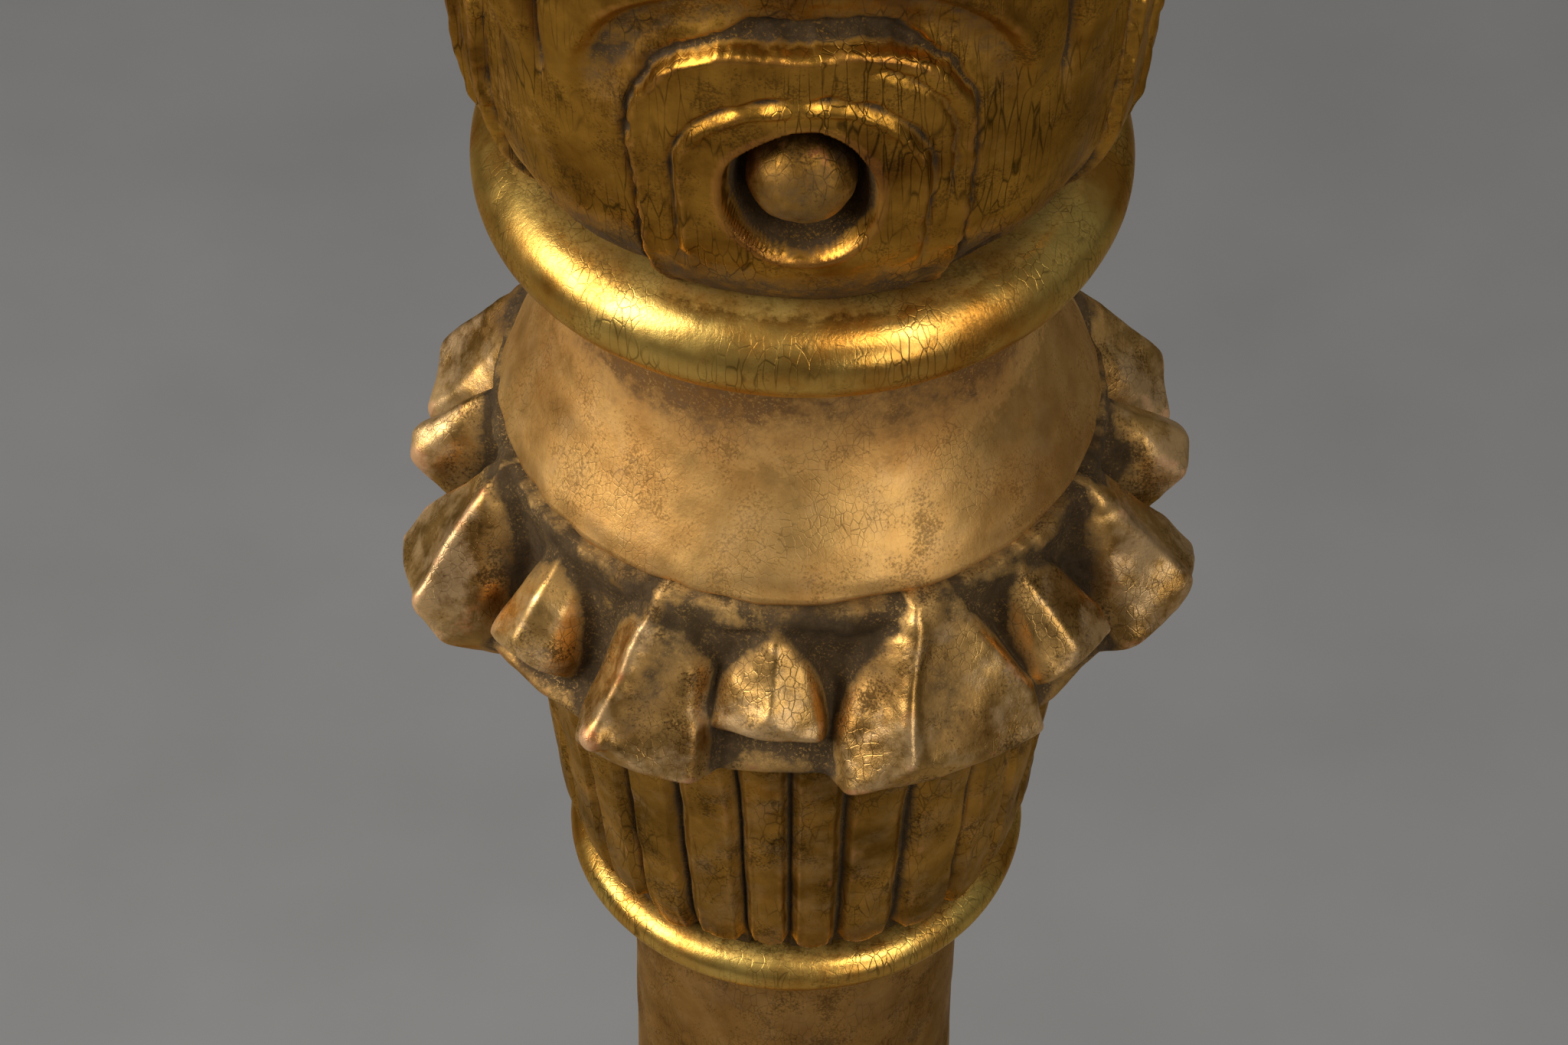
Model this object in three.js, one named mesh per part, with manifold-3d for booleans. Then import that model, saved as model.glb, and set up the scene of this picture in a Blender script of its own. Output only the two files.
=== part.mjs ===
// A carved and gilded floor torchere: a candle stand turned and carved in sections, which an iron rod
// clamps together. Millimetres, +Z up, the origin on the floor under the stem, the front towards -Y.
import * as THREE from "three";
import { mergeGeometries, mergeVertices } from "three/addons/utils/BufferGeometryUtils.js";
import Module from "manifold-3d";

const wasm = await Module();
wasm.setup();

// ---- Driving dimensions -------------------------------------------------------------------------

const TURNED_STEPS = 24; // facets round a plain turning
const WIDE_STEPS = 32; // round the widest ones
const ROD_STEPS = 12;
const CARVED_STEPS = 40; // round the bulb, and a multiple of its eyes' number
const CLEARANCE = 0.3; // between a spigot and its socket, all round
const SPIGOT_RADIUS = 15;
const SPIGOT_LENGTH = 11; // how far a spigot enters the section below
const ROD_RADIUS = 6;
const BORE_RADIUS = ROD_RADIUS + CLEARANCE;
const RING_BORE = SPIGOT_RADIUS + CLEARANCE; // a ring is threaded on the spigot of the section above

const FOOT_HEIGHT = 66;
const FOOT_WIDTH = 44;
const FOOT_REACH = 168; // from the stem's axis to the toe
const FOOT_HEEL = 62; // from the axis to the back of the foot
const TOE_RADIUS = 19;
const FEET = [
  ["front_right", -45],
  ["back_right", 45],
  ["back_left", 135],
  ["front_left", -135],
];

const BOARD_HEIGHT = 26;
const BOARD_RADIUS = 158;
const BASE_TORUS_HEIGHT = 30;
const BASE_TORUS_RADIUS = 140;
const BELL_HEIGHT = 128;
const BELL_FOOT_RADIUS = 124;
const BELL_NECK_RADIUS = 40;
const BELL_RIBS = 24;
const BELL_RIB_DEPTH = 3.5;
const BASE_RING_HEIGHT = 17;
const BASE_RING_RADIUS = 52;
const KNOP_HEIGHT = 84;
const KNOP_RADIUS = 56;
const KNOP_END_RADIUS = 38;
const KNOP_RING_HEIGHT = 12;
const KNOP_RING_RADIUS = 43;
const COLUMN_HEIGHT = 410;
const COLUMN_RADIUS = 33.2;

const COLUMN_RING_HEIGHT = 10;
const COLUMN_RING_RADIUS = 45.7;
const CUP_HEIGHT = 75;
const CUP_FOOT_RADIUS = 42;
const CUP_MIDDLE_RADIUS = 49;
const CUP_LIP_RADIUS = 57;
const CUP_RIBS = 24;
const CUP_RIB_DEPTH = 3;
const RUFF_HEIGHT = 42;
const RUFF_ROOT_RADIUS = 57; // where the leaves leave the collar
const RUFF_SEAT_RADIUS = 55; // the flat ring that sits on the cup
const LARGE_TIP_RADIUS = 77.5;
const SMALL_TIP_RADIUS = 73;
const VALLEY_RADIUS = 62.5; // between two tips
const LARGE_TIP_DROP = 38; // from the top of the ruff to the lip of a tip
const SMALL_TIP_DROP = 31;
const VALLEY_DROP = 26;
// Where each tip points, in degrees from the front, anticlockwise seen from above. Cut by eye.
const LARGE_TIPS = [21, 71, 116, 160, 199, 244, 288, 334];
const SMALL_TIPS = [-5, 48, 94, 138, 181, 222, 266, 311];
const RUFF_STEPS = 96;
const LARGE_TIP_SPREAD = 16; // half the width of a tip, in degrees
const SMALL_TIP_SPREAD = 9.5;
const COLLAR_HEIGHT = 52;
const COLLAR_RIM_RADIUS = 56;
const COLLAR_RIM_HEIGHT = 4;
const COLLAR_WAIST_RADIUS = 43;
// The collar flares straight from its rim, then curves up into its waist: how far up each point is, and how
// far out from the waist to the rim, both as shares.
const COLLAR_FLARE = [
  [0.07, 1],
  [0.27, 0.6],
  [0.48, 0.26],
  [0.6, 0.1],
  [0.72, 0.02],
  [0.86, 0],
];
const TORUS_HEIGHT = 19;
const TORUS_RADIUS = 59.3;
const BULB_HEIGHT = 152;
const BULB_FOOT_RADIUS = 44.6;
const BULB_RADIUS = 64;
const BULB_TOP_RADIUS = 36;
const BULB_WIDEST = 0.4; // how far up the bulb it is widest
const EYE_COUNT = 4;
const EYE_HEIGHT = 35.5; // from the foot of the bulb to the middle of an eye
const EYE_HALF_WIDTH = 13;
const EYE_HALF_HEIGHT = 16;
const EYE_DEPTH = 11;
const GROOVE_DEPTH = 5; // the upright grooves between the eyes
const GROOVE_SPREAD = 16; // half the width of a groove, in degrees
const BOSS_RADIUS = 9.6;
const BOSS_HEIGHT = 11;
const BOSS_NAMES = ["front", "right", "back", "left"];

const SHOULDER_RING_HEIGHT = 14;
const SHOULDER_RING_RADIUS = 44;
const NECK_HEIGHT = 96;
const NECK_FOOT_RADIUS = 33;
const NECK_WAIST_RADIUS = 22;
const NECK_TOP_RADIUS = 30;
const NECK_RING_HEIGHT = 13;
const NECK_RING_RADIUS = 40;
const CAPITAL_HEIGHT = 70;
const CAPITAL_FOOT_RADIUS = 31;
const CAPITAL_TIP_RADIUS = 66;
const CAPITAL_VALLEY_RADIUS = 58;
const CAPITAL_SEAT_RADIUS = 50;
const CAPITAL_LEAVES = 8;
const DISH_HEIGHT = 30;
const DISH_FOOT_RADIUS = 50;
const DISH_RADIUS = 108;
const PAN_HEIGHT = 13;
const PAN_SHEET = 1.5;
const PAN_FLOOR_RADIUS = 52;
const PAN_RADIUS = 74;
const SHOULDER_RADIUS = 13; // the forged shoulder that bears on the dish
const SHOULDER_THICKNESS = 4;
const PRICKET_HEIGHT = 82; // from the dish to the point
const PRICKET_TAPER = 60;

const WASHER_SIDE = 54;
const WASHER_THICKNESS = 4;
const NUT_SIDE = 24;
const NUT_THICKNESS = 12;
const ROD_TAIL = 8; // thread below the nut
const DOWEL_RADIUS = 6;
const DOWEL_LENGTH = 34;
const DOWEL_DISTANCE = 122; // from the stem's axis
const SCREW_DISTANCE = 88;
const SCREW_RADIUS = 2.5;
const SCREW_HEAD_RADIUS = 5.5;
const SCREW_HEAD_HEIGHT = 3.5;
const SCREW_LENGTH = 46;

// ---- Heights of the sections, each standing on the one below ------------------------------------

const BOARD_Z = FOOT_HEIGHT;
const BASE_TORUS_Z = BOARD_Z + BOARD_HEIGHT;
const BELL_Z = BASE_TORUS_Z + BASE_TORUS_HEIGHT;
const BASE_RING_Z = BELL_Z + BELL_HEIGHT;
const KNOP_Z = BASE_RING_Z + BASE_RING_HEIGHT;
const KNOP_RING_Z = KNOP_Z + KNOP_HEIGHT;
const COLUMN_Z = KNOP_RING_Z + KNOP_RING_HEIGHT;
const COLUMN_RING_Z = COLUMN_Z + COLUMN_HEIGHT;
const CUP_Z = COLUMN_RING_Z + COLUMN_RING_HEIGHT;
const RUFF_Z = CUP_Z + CUP_HEIGHT;
const COLLAR_Z = RUFF_Z + RUFF_HEIGHT;
const TORUS_Z = COLLAR_Z + COLLAR_HEIGHT;
const BULB_Z = TORUS_Z + TORUS_HEIGHT;
const SHOULDER_RING_Z = BULB_Z + BULB_HEIGHT;
const NECK_Z = SHOULDER_RING_Z + SHOULDER_RING_HEIGHT;
const NECK_RING_Z = NECK_Z + NECK_HEIGHT;
const CAPITAL_Z = NECK_RING_Z + NECK_RING_HEIGHT;
const DISH_Z = CAPITAL_Z + CAPITAL_HEIGHT;
const DISH_TOP_Z = DISH_Z + DISH_HEIGHT;
const PAN_Z = DISH_TOP_Z + SHOULDER_THICKNESS;

// ---- Materials ----------------------------------------------------------------------------------

const finish = (color, roughness, metalness) => new THREE.MeshStandardMaterial({ color, roughness, metalness });
const brightGold = finish(0xc9973a, 0.35, 0.9);
const agedGold = finish(0xa67c3d, 0.5, 0.8);
const bronzePaint = finish(0x7b5c33, 0.55, 0.6);
const iron = finish(0x3a3633, 0.6, 0.8);
const tole = finish(0xa8823c, 0.45, 0.9);
const bareWood = finish(0x8a6a44, 0.8, 0);

const stand = new THREE.Group();

function place(name, geometry, material, parent = stand) {
  const mesh = new THREE.Mesh(geometry, material);
  mesh.name = name;
  parent.add(mesh);
  return mesh;
}

// ---- Geometry helpers ---------------------------------------------------------------------------

const radians = THREE.MathUtils.degToRad;
const smoothstep = (t) => t * t * (3 - 2 * t);

// Points [radius, height] of an elliptical arc, angles in degrees from the outward direction.
function arc(radius, height, acrossRadius, upRadius, from, to, steps) {
  return Array.from({ length: steps + 1 }, (_, i) => {
    const angle = radians(from + ((to - from) * i) / steps);
    return [radius + acrossRadius * Math.cos(angle), height + upRadius * Math.sin(angle)];
  });
}

// The outside of a section, closed at both ends by what joins it to its neighbours.
// A spigot below drops through drop millimetres of rings and into the section under them.
function closeSection(outside, { spigot = 0, socket = false, bore = BORE_RADIUS }) {
  const bottom = outside[0][1];
  const top = outside[outside.length - 1][1];
  const below = spigot
    ? [
        [bore, bottom - spigot],
        [SPIGOT_RADIUS, bottom - spigot],
        [SPIGOT_RADIUS, bottom],
      ]
    : [[bore, bottom]];
  const above = socket
    ? [
        [RING_BORE, top],
        [RING_BORE, top - SPIGOT_LENGTH - CLEARANCE],
        [bore, top - SPIGOT_LENGTH - CLEARANCE],
      ]
    : [[bore, top]];
  return [...below, ...outside, ...above];
}

// A section of [radius, height] points revolved round the Z axis.
const lathe = (section, steps) =>
  new THREE.LatheGeometry(section.map(([r, z]) => new THREE.Vector2(r, z)), steps).rotateX(Math.PI / 2);

const closed = (section) => [...section, section[0]];

// A plain turning of the stem.
const turned = (outside, joints = {}, steps = TURNED_STEPS) => lathe(closed(closeSection(outside, joints)), steps);

// A carved turning: sectionAt(angle) gives the section at each angle from the front, in degrees.
function carved(sectionAt, steps, joints = {}) {
  const positions = [];
  const indices = [];
  let count = 0;
  for (let i = 0; i < steps; i++) {
    const degrees = (360 * i) / steps;
    const section = closeSection(sectionAt(degrees), joints);
    count = section.length;
    const [sin, cos] = [Math.sin(radians(degrees)), Math.cos(radians(degrees))];
    section.forEach(([r, z]) => positions.push(r * sin, -r * cos, z));
  }
  for (let i = 0; i < steps; i++) {
    const next = ((i + 1) % steps) * count;
    for (let k = 0; k < count; k++) {
      const [a, b] = [i * count + k, i * count + ((k + 1) % count)];
      const [c, d] = [next + k, next + ((k + 1) % count)];
      indices.push(a, c, b, b, c, d);
    }
  }
  const geometry = new THREE.BufferGeometry();
  geometry.setAttribute("position", new THREE.Float32BufferAttribute(positions, 3));
  geometry.setIndex(indices);
  return geometry;
}

function toSolid(geometry) {
  const bare = geometry.clone();
  bare.deleteAttribute("normal");
  bare.deleteAttribute("uv");
  const merged = mergeVertices(bare, 1e-4);
  return new wasm.Manifold(
    new wasm.Mesh({
      numProp: 3,
      vertProperties: merged.attributes.position.array,
      triVerts: new Uint32Array(merged.index.array),
    }),
  );
}

function toGeometry(solid) {
  const mesh = solid.getMesh();
  const geometry = new THREE.BufferGeometry();
  geometry.setAttribute("position", new THREE.BufferAttribute(new Float32Array(mesh.vertProperties), 3));
  geometry.setIndex(new THREE.BufferAttribute(mesh.triVerts, 1));
  return geometry;
}

const cut = (geometry, tools) =>
  toGeometry(tools.reduce((left, tool) => left.subtract(toSolid(tool)), toSolid(geometry)));

// A rod standing on its lower end at (0, 0, from), with as many sides as asked.
function rod(radius, from, length, sides) {
  return new THREE.CylinderGeometry(radius, radius, length, sides)
    .rotateX(Math.PI / 2)
    .translate(0, 0, from + length / 2);
}

// ---- Sections of the stem -----------------------------------------------------------------------

// A half-round ring, threaded on the spigot of the section above it.
function ring(z, height, radius) {
  const half = height / 2;
  return turned(arc(radius - half, z + half, half, half, -90, 90, 6), { bore: RING_BORE });
}

function plinthBoard() {
  const lip = BOARD_HEIGHT * 0.3;
  const edge = BOARD_HEIGHT - lip;
  return turned(
    [
      [BOARD_RADIUS, BOARD_Z],
      [BOARD_RADIUS, BOARD_Z + lip],
      ...arc(BOARD_RADIUS - edge / 2, BOARD_Z + lip, edge / 2, edge, 0, 90, 3),
    ],
    { socket: true },
    WIDE_STEPS,
  );
}

function baseTorus() {
  const half = BASE_TORUS_HEIGHT / 2;
  return turned(
    arc(BASE_TORUS_RADIUS - half, BASE_TORUS_Z + half, half, half, -90, 90, 6),
    { bore: RING_BORE },
    WIDE_STEPS,
  );
}

// The ribbed bell sweeps in from its wide foot to the neck.
function bellSection(degrees) {
  const rib = BELL_RIB_DEPTH * Math.abs(Math.sin(radians((degrees * BELL_RIBS) / 2)));
  const rise = [0, 0.06, 0.14, 0.26, 0.42, 0.62, 0.84, 1];
  return rise.map((t) => {
    const sweep = 1 - Math.sin((t * Math.PI) / 2) ** 0.62;
    const radius = BELL_NECK_RADIUS + (BELL_FOOT_RADIUS - BELL_NECK_RADIUS) * sweep;
    const fade = smoothstep(Math.min(1, 8 * t, 8 * (1 - t)));
    return [radius - rib * fade, BELL_Z + t * BELL_HEIGHT];
  });
}

function lowerKnop() {
  const middle = KNOP_Z + KNOP_HEIGHT / 2;
  const end = THREE.MathUtils.radToDeg(Math.acos(KNOP_END_RADIUS / KNOP_RADIUS));
  const upRadius = KNOP_HEIGHT / 2 / Math.sin(radians(end));
  return turned(arc(0, middle, KNOP_RADIUS, upRadius, -end, end, 8), {
    spigot: BASE_RING_HEIGHT + SPIGOT_LENGTH,
    socket: true,
  });
}

function column() {
  return turned(
    [
      [COLUMN_RADIUS, COLUMN_Z],
      [COLUMN_RADIUS, COLUMN_Z + COLUMN_HEIGHT],
    ],
    { spigot: KNOP_RING_HEIGHT + SPIGOT_LENGTH, socket: true },
  );
}

function cupSection(degrees) {
  const rib = CUP_RIB_DEPTH * Math.abs(Math.sin(radians((degrees * CUP_RIBS) / 2)));
  const shape = [
    [0, CUP_FOOT_RADIUS],
    [0.12, CUP_FOOT_RADIUS + 3],
    [0.35, CUP_MIDDLE_RADIUS - 1],
    [0.6, CUP_MIDDLE_RADIUS + 1],
    [0.82, CUP_LIP_RADIUS - 3],
    [1, CUP_LIP_RADIUS],
  ];
  return shape.map(([t, radius]) => [radius - rib * Math.min(1, 6 * t), CUP_Z + t * CUP_HEIGHT]);
}

// How much of the nearest tip is felt at an angle: 1 on its ridge, 0 beyond its edge.
function tipShare(degrees, tips, spread) {
  const apart = tips.map((tip) => Math.abs(((degrees - tip + 540) % 360) - 180));
  return Math.max(0, 1 - (Math.min(...apart) / spread) ** 2);
}

// A leaf leaves the collar, falls outwards along its ridge, and turns under at its lip.
function ruffSection(degrees) {
  const large = tipShare(degrees, LARGE_TIPS, LARGE_TIP_SPREAD) ** 0.6;
  const small = tipShare(degrees, SMALL_TIPS, SMALL_TIP_SPREAD) ** 0.6;
  const mix = (valley, smallTip, largeTip) =>
    valley + Math.max((largeTip - valley) * large, (smallTip - valley) * small);
  const reach = mix(VALLEY_RADIUS, SMALL_TIP_RADIUS, LARGE_TIP_RADIUS);
  const drop = mix(VALLEY_DROP, SMALL_TIP_DROP, LARGE_TIP_DROP);
  const top = RUFF_Z + RUFF_HEIGHT;
  const raised = Math.max(large, small);
  return [
    [RUFF_SEAT_RADIUS, RUFF_Z],
    [RUFF_SEAT_RADIUS + 2, RUFF_Z + 2],
    [reach - 6 * raised, top - drop],
    [reach, top - drop + 7],
    [RUFF_ROOT_RADIUS + (reach - RUFF_ROOT_RADIUS) * 0.7, top - 13 + 2 * raised],
    [RUFF_ROOT_RADIUS, top - 5 * (1 - raised) - 1],
    [RUFF_ROOT_RADIUS - 3, top],
  ];
}

function scotiaCollar() {
  const across = COLLAR_RIM_RADIUS - COLLAR_WAIST_RADIUS;
  const hollow = COLLAR_FLARE.map(([t, share]) => [
    COLLAR_WAIST_RADIUS + across * share,
    COLLAR_Z + t * COLLAR_HEIGHT,
  ]);
  return turned(
    [
      [COLLAR_RIM_RADIUS - 1.5, COLLAR_Z],
      [COLLAR_RIM_RADIUS, COLLAR_Z + COLLAR_RIM_HEIGHT / 2],
      ...hollow,
      [COLLAR_WAIST_RADIUS + 1, COLLAR_Z + COLLAR_HEIGHT],
    ],
    { spigot: RUFF_HEIGHT + SPIGOT_LENGTH, socket: true },
  );
}

function bulbRadius(t) {
  if (t < BULB_WIDEST) {
    const s = 1 - t / BULB_WIDEST;
    return BULB_FOOT_RADIUS + (BULB_RADIUS - BULB_FOOT_RADIUS) * Math.sqrt(1 - s ** 2.6);
  }
  const s = (t - BULB_WIDEST) / (1 - BULB_WIDEST);
  return BULB_RADIUS - (BULB_RADIUS - BULB_TOP_RADIUS) * s ** 2.2;
}

const EYE_SHARE = EYE_HEIGHT / BULB_HEIGHT;
const EYE_SURFACE = bulbRadius(EYE_SHARE);

// The bulb is four broad lobes, one round each eye, with a groove between each two.
function bulbSection(degrees) {
  const lobe = 360 / EYE_COUNT;
  const apart = Math.abs((degrees % lobe) - lobe / 2);
  const groove = GROOVE_DEPTH * Math.max(0, 1 - apart / GROOVE_SPREAD);
  const rise = [0, 0.02, 0.06, 0.12, 0.2, 0.3, 0.42, 0.55, 0.68, 0.8, 0.91, 1];
  return rise.map((t) => {
    const fade = smoothstep(Math.min(1, 5 * t, 5 * (1 - t)));
    return [bulbRadius(t) - groove * fade, BULB_Z + t * BULB_HEIGHT];
  });
}

function eyeBulb() {
  const body = carved(bulbSection, CARVED_STEPS, { spigot: TORUS_HEIGHT + SPIGOT_LENGTH, socket: true });
  const eyes = BOSS_NAMES.map((_, i) =>
    new THREE.CylinderGeometry(EYE_HALF_WIDTH, EYE_HALF_WIDTH, 2 * EYE_DEPTH, 16)
      .scale(1, 1, EYE_HALF_HEIGHT / EYE_HALF_WIDTH)
      .translate(0, -EYE_SURFACE, 0)
      .rotateZ((i * 2 * Math.PI) / EYE_COUNT)
      .translate(0, 0, BULB_Z + EYE_HEIGHT),
  );
  return cut(body, eyes);
}

// A domed stud on the floor of its eye.
function eyeBoss(i) {
  const dome = arc(0, BOSS_HEIGHT / 3, BOSS_RADIUS, (BOSS_HEIGHT * 2) / 3, 0, 90, 4);
  dome[dome.length - 1][0] = 0;
  return lathe([[0, 0], [BOSS_RADIUS - 1, 0], ...dome], ROD_STEPS)
    .rotateX(Math.PI / 2)
    .translate(0, -(EYE_SURFACE - EYE_DEPTH + CLEARANCE), 0)
    .rotateZ((i * 2 * Math.PI) / EYE_COUNT)
    .translate(0, 0, BULB_Z + EYE_HEIGHT);
}

function neck() {
  const rise = [0, 0.05, 0.14, 0.28, 0.45, 0.62, 0.8, 0.93, 1];
  const outside = rise.map((t) => {
    const end = t < 0.45 ? NECK_FOOT_RADIUS : NECK_TOP_RADIUS;
    const s = t < 0.45 ? 1 - t / 0.45 : (t - 0.45) / 0.55;
    return [NECK_WAIST_RADIUS + (end - NECK_WAIST_RADIUS) * s ** 2, NECK_Z + t * NECK_HEIGHT];
  });
  return turned(outside, { spigot: SHOULDER_RING_HEIGHT + SPIGOT_LENGTH, socket: true });
}

// A calyx of upright leaves whose tips turn outwards under the dish.
function capitalSection(degrees) {
  const leaf = Math.abs(Math.cos(radians((degrees * CAPITAL_LEAVES) / 2)));
  const reach = CAPITAL_VALLEY_RADIUS + (CAPITAL_TIP_RADIUS - CAPITAL_VALLEY_RADIUS) * leaf;
  const groove = 3 * (1 - leaf);
  const at = (t, radius) => [radius - groove * Math.min(1, 5 * t), CAPITAL_Z + t * CAPITAL_HEIGHT];
  return [
    [CAPITAL_FOOT_RADIUS, CAPITAL_Z],
    at(0.15, CAPITAL_FOOT_RADIUS + 8),
    at(0.4, CAPITAL_FOOT_RADIUS + 12),
    at(0.62, CAPITAL_FOOT_RADIUS + 17),
    [reach - 6, CAPITAL_Z + 0.7 * CAPITAL_HEIGHT],
    [reach, CAPITAL_Z + 0.8 * CAPITAL_HEIGHT],
    [reach - 7, CAPITAL_Z + 0.9 * CAPITAL_HEIGHT],
    [CAPITAL_SEAT_RADIUS, CAPITAL_Z + CAPITAL_HEIGHT],
  ];
}

function topDish() {
  const edge = DISH_HEIGHT * 0.4;
  const sweep = DISH_HEIGHT - edge;
  return turned(
    [
      ...arc(DISH_FOOT_RADIUS, DISH_Z + sweep, DISH_RADIUS - 6 - DISH_FOOT_RADIUS, sweep, -90, 0, 5),
      ...arc(DISH_RADIUS - edge / 2, DISH_TOP_Z - edge / 2, edge / 2, edge / 2, -60, 90, 4),
    ],
    { spigot: SPIGOT_LENGTH },
    WIDE_STEPS,
  );
}

// A saucer of thin sheet, open in the middle for the pricket.
function dripPan() {
  const slope = PAN_RADIUS - PAN_FLOOR_RADIUS;
  const inside = arc(PAN_FLOOR_RADIUS, PAN_Z + PAN_HEIGHT, slope - PAN_SHEET, PAN_HEIGHT - PAN_SHEET, -90, -20, 3);
  const outside = arc(PAN_FLOOR_RADIUS, PAN_Z + PAN_HEIGHT, slope, PAN_HEIGHT, -90, -20, 3);
  const hole = [BORE_RADIUS, PAN_Z + PAN_SHEET];
  return lathe(closed([[BORE_RADIUS, PAN_Z], ...outside, ...inside.reverse(), hole]), WIDE_STEPS);
}

// ---- Iron ---------------------------------------------------------------------------------------

const WASHER_Z = BOARD_Z - WASHER_THICKNESS;
const NUT_Z = WASHER_Z - NUT_THICKNESS;

// One forging: a threaded tail, a shoulder that bears on the dish, and the pricket's point.
function tieRod() {
  const point = DISH_TOP_Z + PRICKET_HEIGHT;
  const section = [
    [0, NUT_Z - ROD_TAIL],
    [ROD_RADIUS, NUT_Z - ROD_TAIL],
    [ROD_RADIUS, DISH_TOP_Z],
    [SHOULDER_RADIUS, DISH_TOP_Z],
    [SHOULDER_RADIUS, DISH_TOP_Z + SHOULDER_THICKNESS],
    [ROD_RADIUS, DISH_TOP_Z + SHOULDER_THICKNESS],
    [ROD_RADIUS, point - PRICKET_TAPER],
    [1, point],
    [0, point],
  ];
  return lathe(section, ROD_STEPS);
}

function squarePlate(side, z, thickness) {
  const plate = new THREE.BoxGeometry(side, side, thickness).translate(0, 0, z + thickness / 2);
  return cut(plate, [rod(BORE_RADIUS, z - 1, thickness + 2, TURNED_STEPS)]);
}

// ---- Feet ---------------------------------------------------------------------------------------

// The side view of a scrolled foot: out along x from the stem's axis, and up along y.
function footOutline() {
  const toe = FOOT_REACH - TOE_RADIUS;
  const shape = new THREE.Shape();
  shape.moveTo(FOOT_HEEL, FOOT_HEIGHT);
  shape.lineTo(FOOT_HEEL, FOOT_HEIGHT - 14);
  shape.bezierCurveTo(FOOT_HEEL + 34, FOOT_HEIGHT - 14, toe - 34, 26, toe - TOE_RADIUS + 4, 0);
  shape.absarc(toe, TOE_RADIUS, TOE_RADIUS, -Math.PI / 2, Math.PI * 0.75, false);
  shape.bezierCurveTo(toe - 6, 36, toe - 22, 40, toe - 14, 50);
  shape.quadraticCurveTo(toe - 6, 56, toe - 8, FOOT_HEIGHT);
  return shape;
}

function foot() {
  const block = new THREE.ExtrudeGeometry(footOutline(), {
    depth: FOOT_WIDTH,
    bevelEnabled: false,
    curveSegments: 8,
  })
    .translate(0, 0, -FOOT_WIDTH / 2)
    .rotateX(Math.PI / 2);
  return cut(block, [dowelHole(), screwHole()]);
}

const dowelBottom = BOARD_Z - DOWEL_LENGTH / 2;
const dowelAt = (geometry) => geometry.translate(DOWEL_DISTANCE, 0, 0);
const screwAt = (geometry) => geometry.translate(SCREW_DISTANCE, 0, 0);
const dowel = () => dowelAt(rod(DOWEL_RADIUS, dowelBottom, DOWEL_LENGTH, ROD_STEPS));
const dowelHole = () =>
  dowelAt(rod(DOWEL_RADIUS + CLEARANCE, dowelBottom - CLEARANCE, DOWEL_LENGTH + 2 * CLEARANCE, ROD_STEPS));

// The screw comes up through the thin heel of the foot into the board.
const screwFoot = FOOT_HEIGHT - 26;
const screwSection = (extra) => [
  [0, screwFoot - extra],
  [SCREW_HEAD_RADIUS + extra, screwFoot - extra],
  [SCREW_RADIUS + extra, screwFoot + SCREW_HEAD_HEIGHT],
  [SCREW_RADIUS + extra, screwFoot + SCREW_LENGTH - 4 + extra],
  [0, screwFoot + SCREW_LENGTH + extra],
];
const screw = () => screwAt(lathe(screwSection(0), ROD_STEPS));
const screwHole = () =>
  screwAt(
    mergeSolids([
      lathe(screwSection(CLEARANCE), ROD_STEPS),
      rod(SCREW_HEAD_RADIUS + CLEARANCE, 0, screwFoot, ROD_STEPS),
    ]),
  );

function mergeSolids(geometries) {
  return toGeometry(geometries.map(toSolid).reduce((a, b) => a.add(b)));
}

// ---- Assembly -----------------------------------------------------------------------------------

const footTurns = FEET.map(([, degrees]) => radians(degrees));
const boardHoles = footTurns.flatMap((turn) => [dowelHole().rotateZ(turn), screwHole().rotateZ(turn)]);

FEET.forEach(([name, degrees]) => {
  const corner = new THREE.Group();
  corner.rotation.z = radians(degrees);
  stand.add(corner);
  place("foot_" + name, foot(), agedGold, corner);
  place("foot_dowel_" + name, dowel(), bareWood, corner);
  place("foot_screw_" + name, screw(), iron, corner);
});

place("plinth_board", cut(plinthBoard(), boardHoles), agedGold);
place("base_torus", baseTorus(), brightGold);
place(
  "base_bell",
  carved(bellSection, 2 * BELL_RIBS, { spigot: BASE_TORUS_HEIGHT + SPIGOT_LENGTH, socket: true }),
  agedGold,
);
place("base_ring", ring(BASE_RING_Z, BASE_RING_HEIGHT, BASE_RING_RADIUS), brightGold);
place("lower_knop", lowerKnop(), agedGold);
place("knop_ring", ring(KNOP_RING_Z, KNOP_RING_HEIGHT, KNOP_RING_RADIUS), brightGold);
place("column", column(), bronzePaint);
place("column_ring", ring(COLUMN_RING_Z, COLUMN_RING_HEIGHT, COLUMN_RING_RADIUS), brightGold);
place(
  "fluted_cup",
  carved(cupSection, 2 * CUP_RIBS, { spigot: COLUMN_RING_HEIGHT + SPIGOT_LENGTH, socket: true }),
  agedGold,
);
place("leaf_ruff", carved(ruffSection, RUFF_STEPS, { bore: RING_BORE }), agedGold);
place("scotia_collar", scotiaCollar(), bronzePaint);
place("torus_ring", ring(TORUS_Z, TORUS_HEIGHT, TORUS_RADIUS), brightGold);
place("eye_bulb", eyeBulb(), brightGold);
BOSS_NAMES.forEach((name, i) => place("eye_boss_" + name, eyeBoss(i), agedGold));
place("shoulder_ring", ring(SHOULDER_RING_Z, SHOULDER_RING_HEIGHT, SHOULDER_RING_RADIUS), brightGold);
place("neck", neck(), bronzePaint);
place("neck_ring", ring(NECK_RING_Z, NECK_RING_HEIGHT, NECK_RING_RADIUS), brightGold);
place(
  "capital_cup",
  carved(capitalSection, 48, { spigot: NECK_RING_HEIGHT + SPIGOT_LENGTH, socket: true }),
  agedGold,
);
place("top_dish", topDish(), brightGold);
place("drip_pan", dripPan(), tole);
place("tie_rod", tieRod(), iron);
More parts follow.
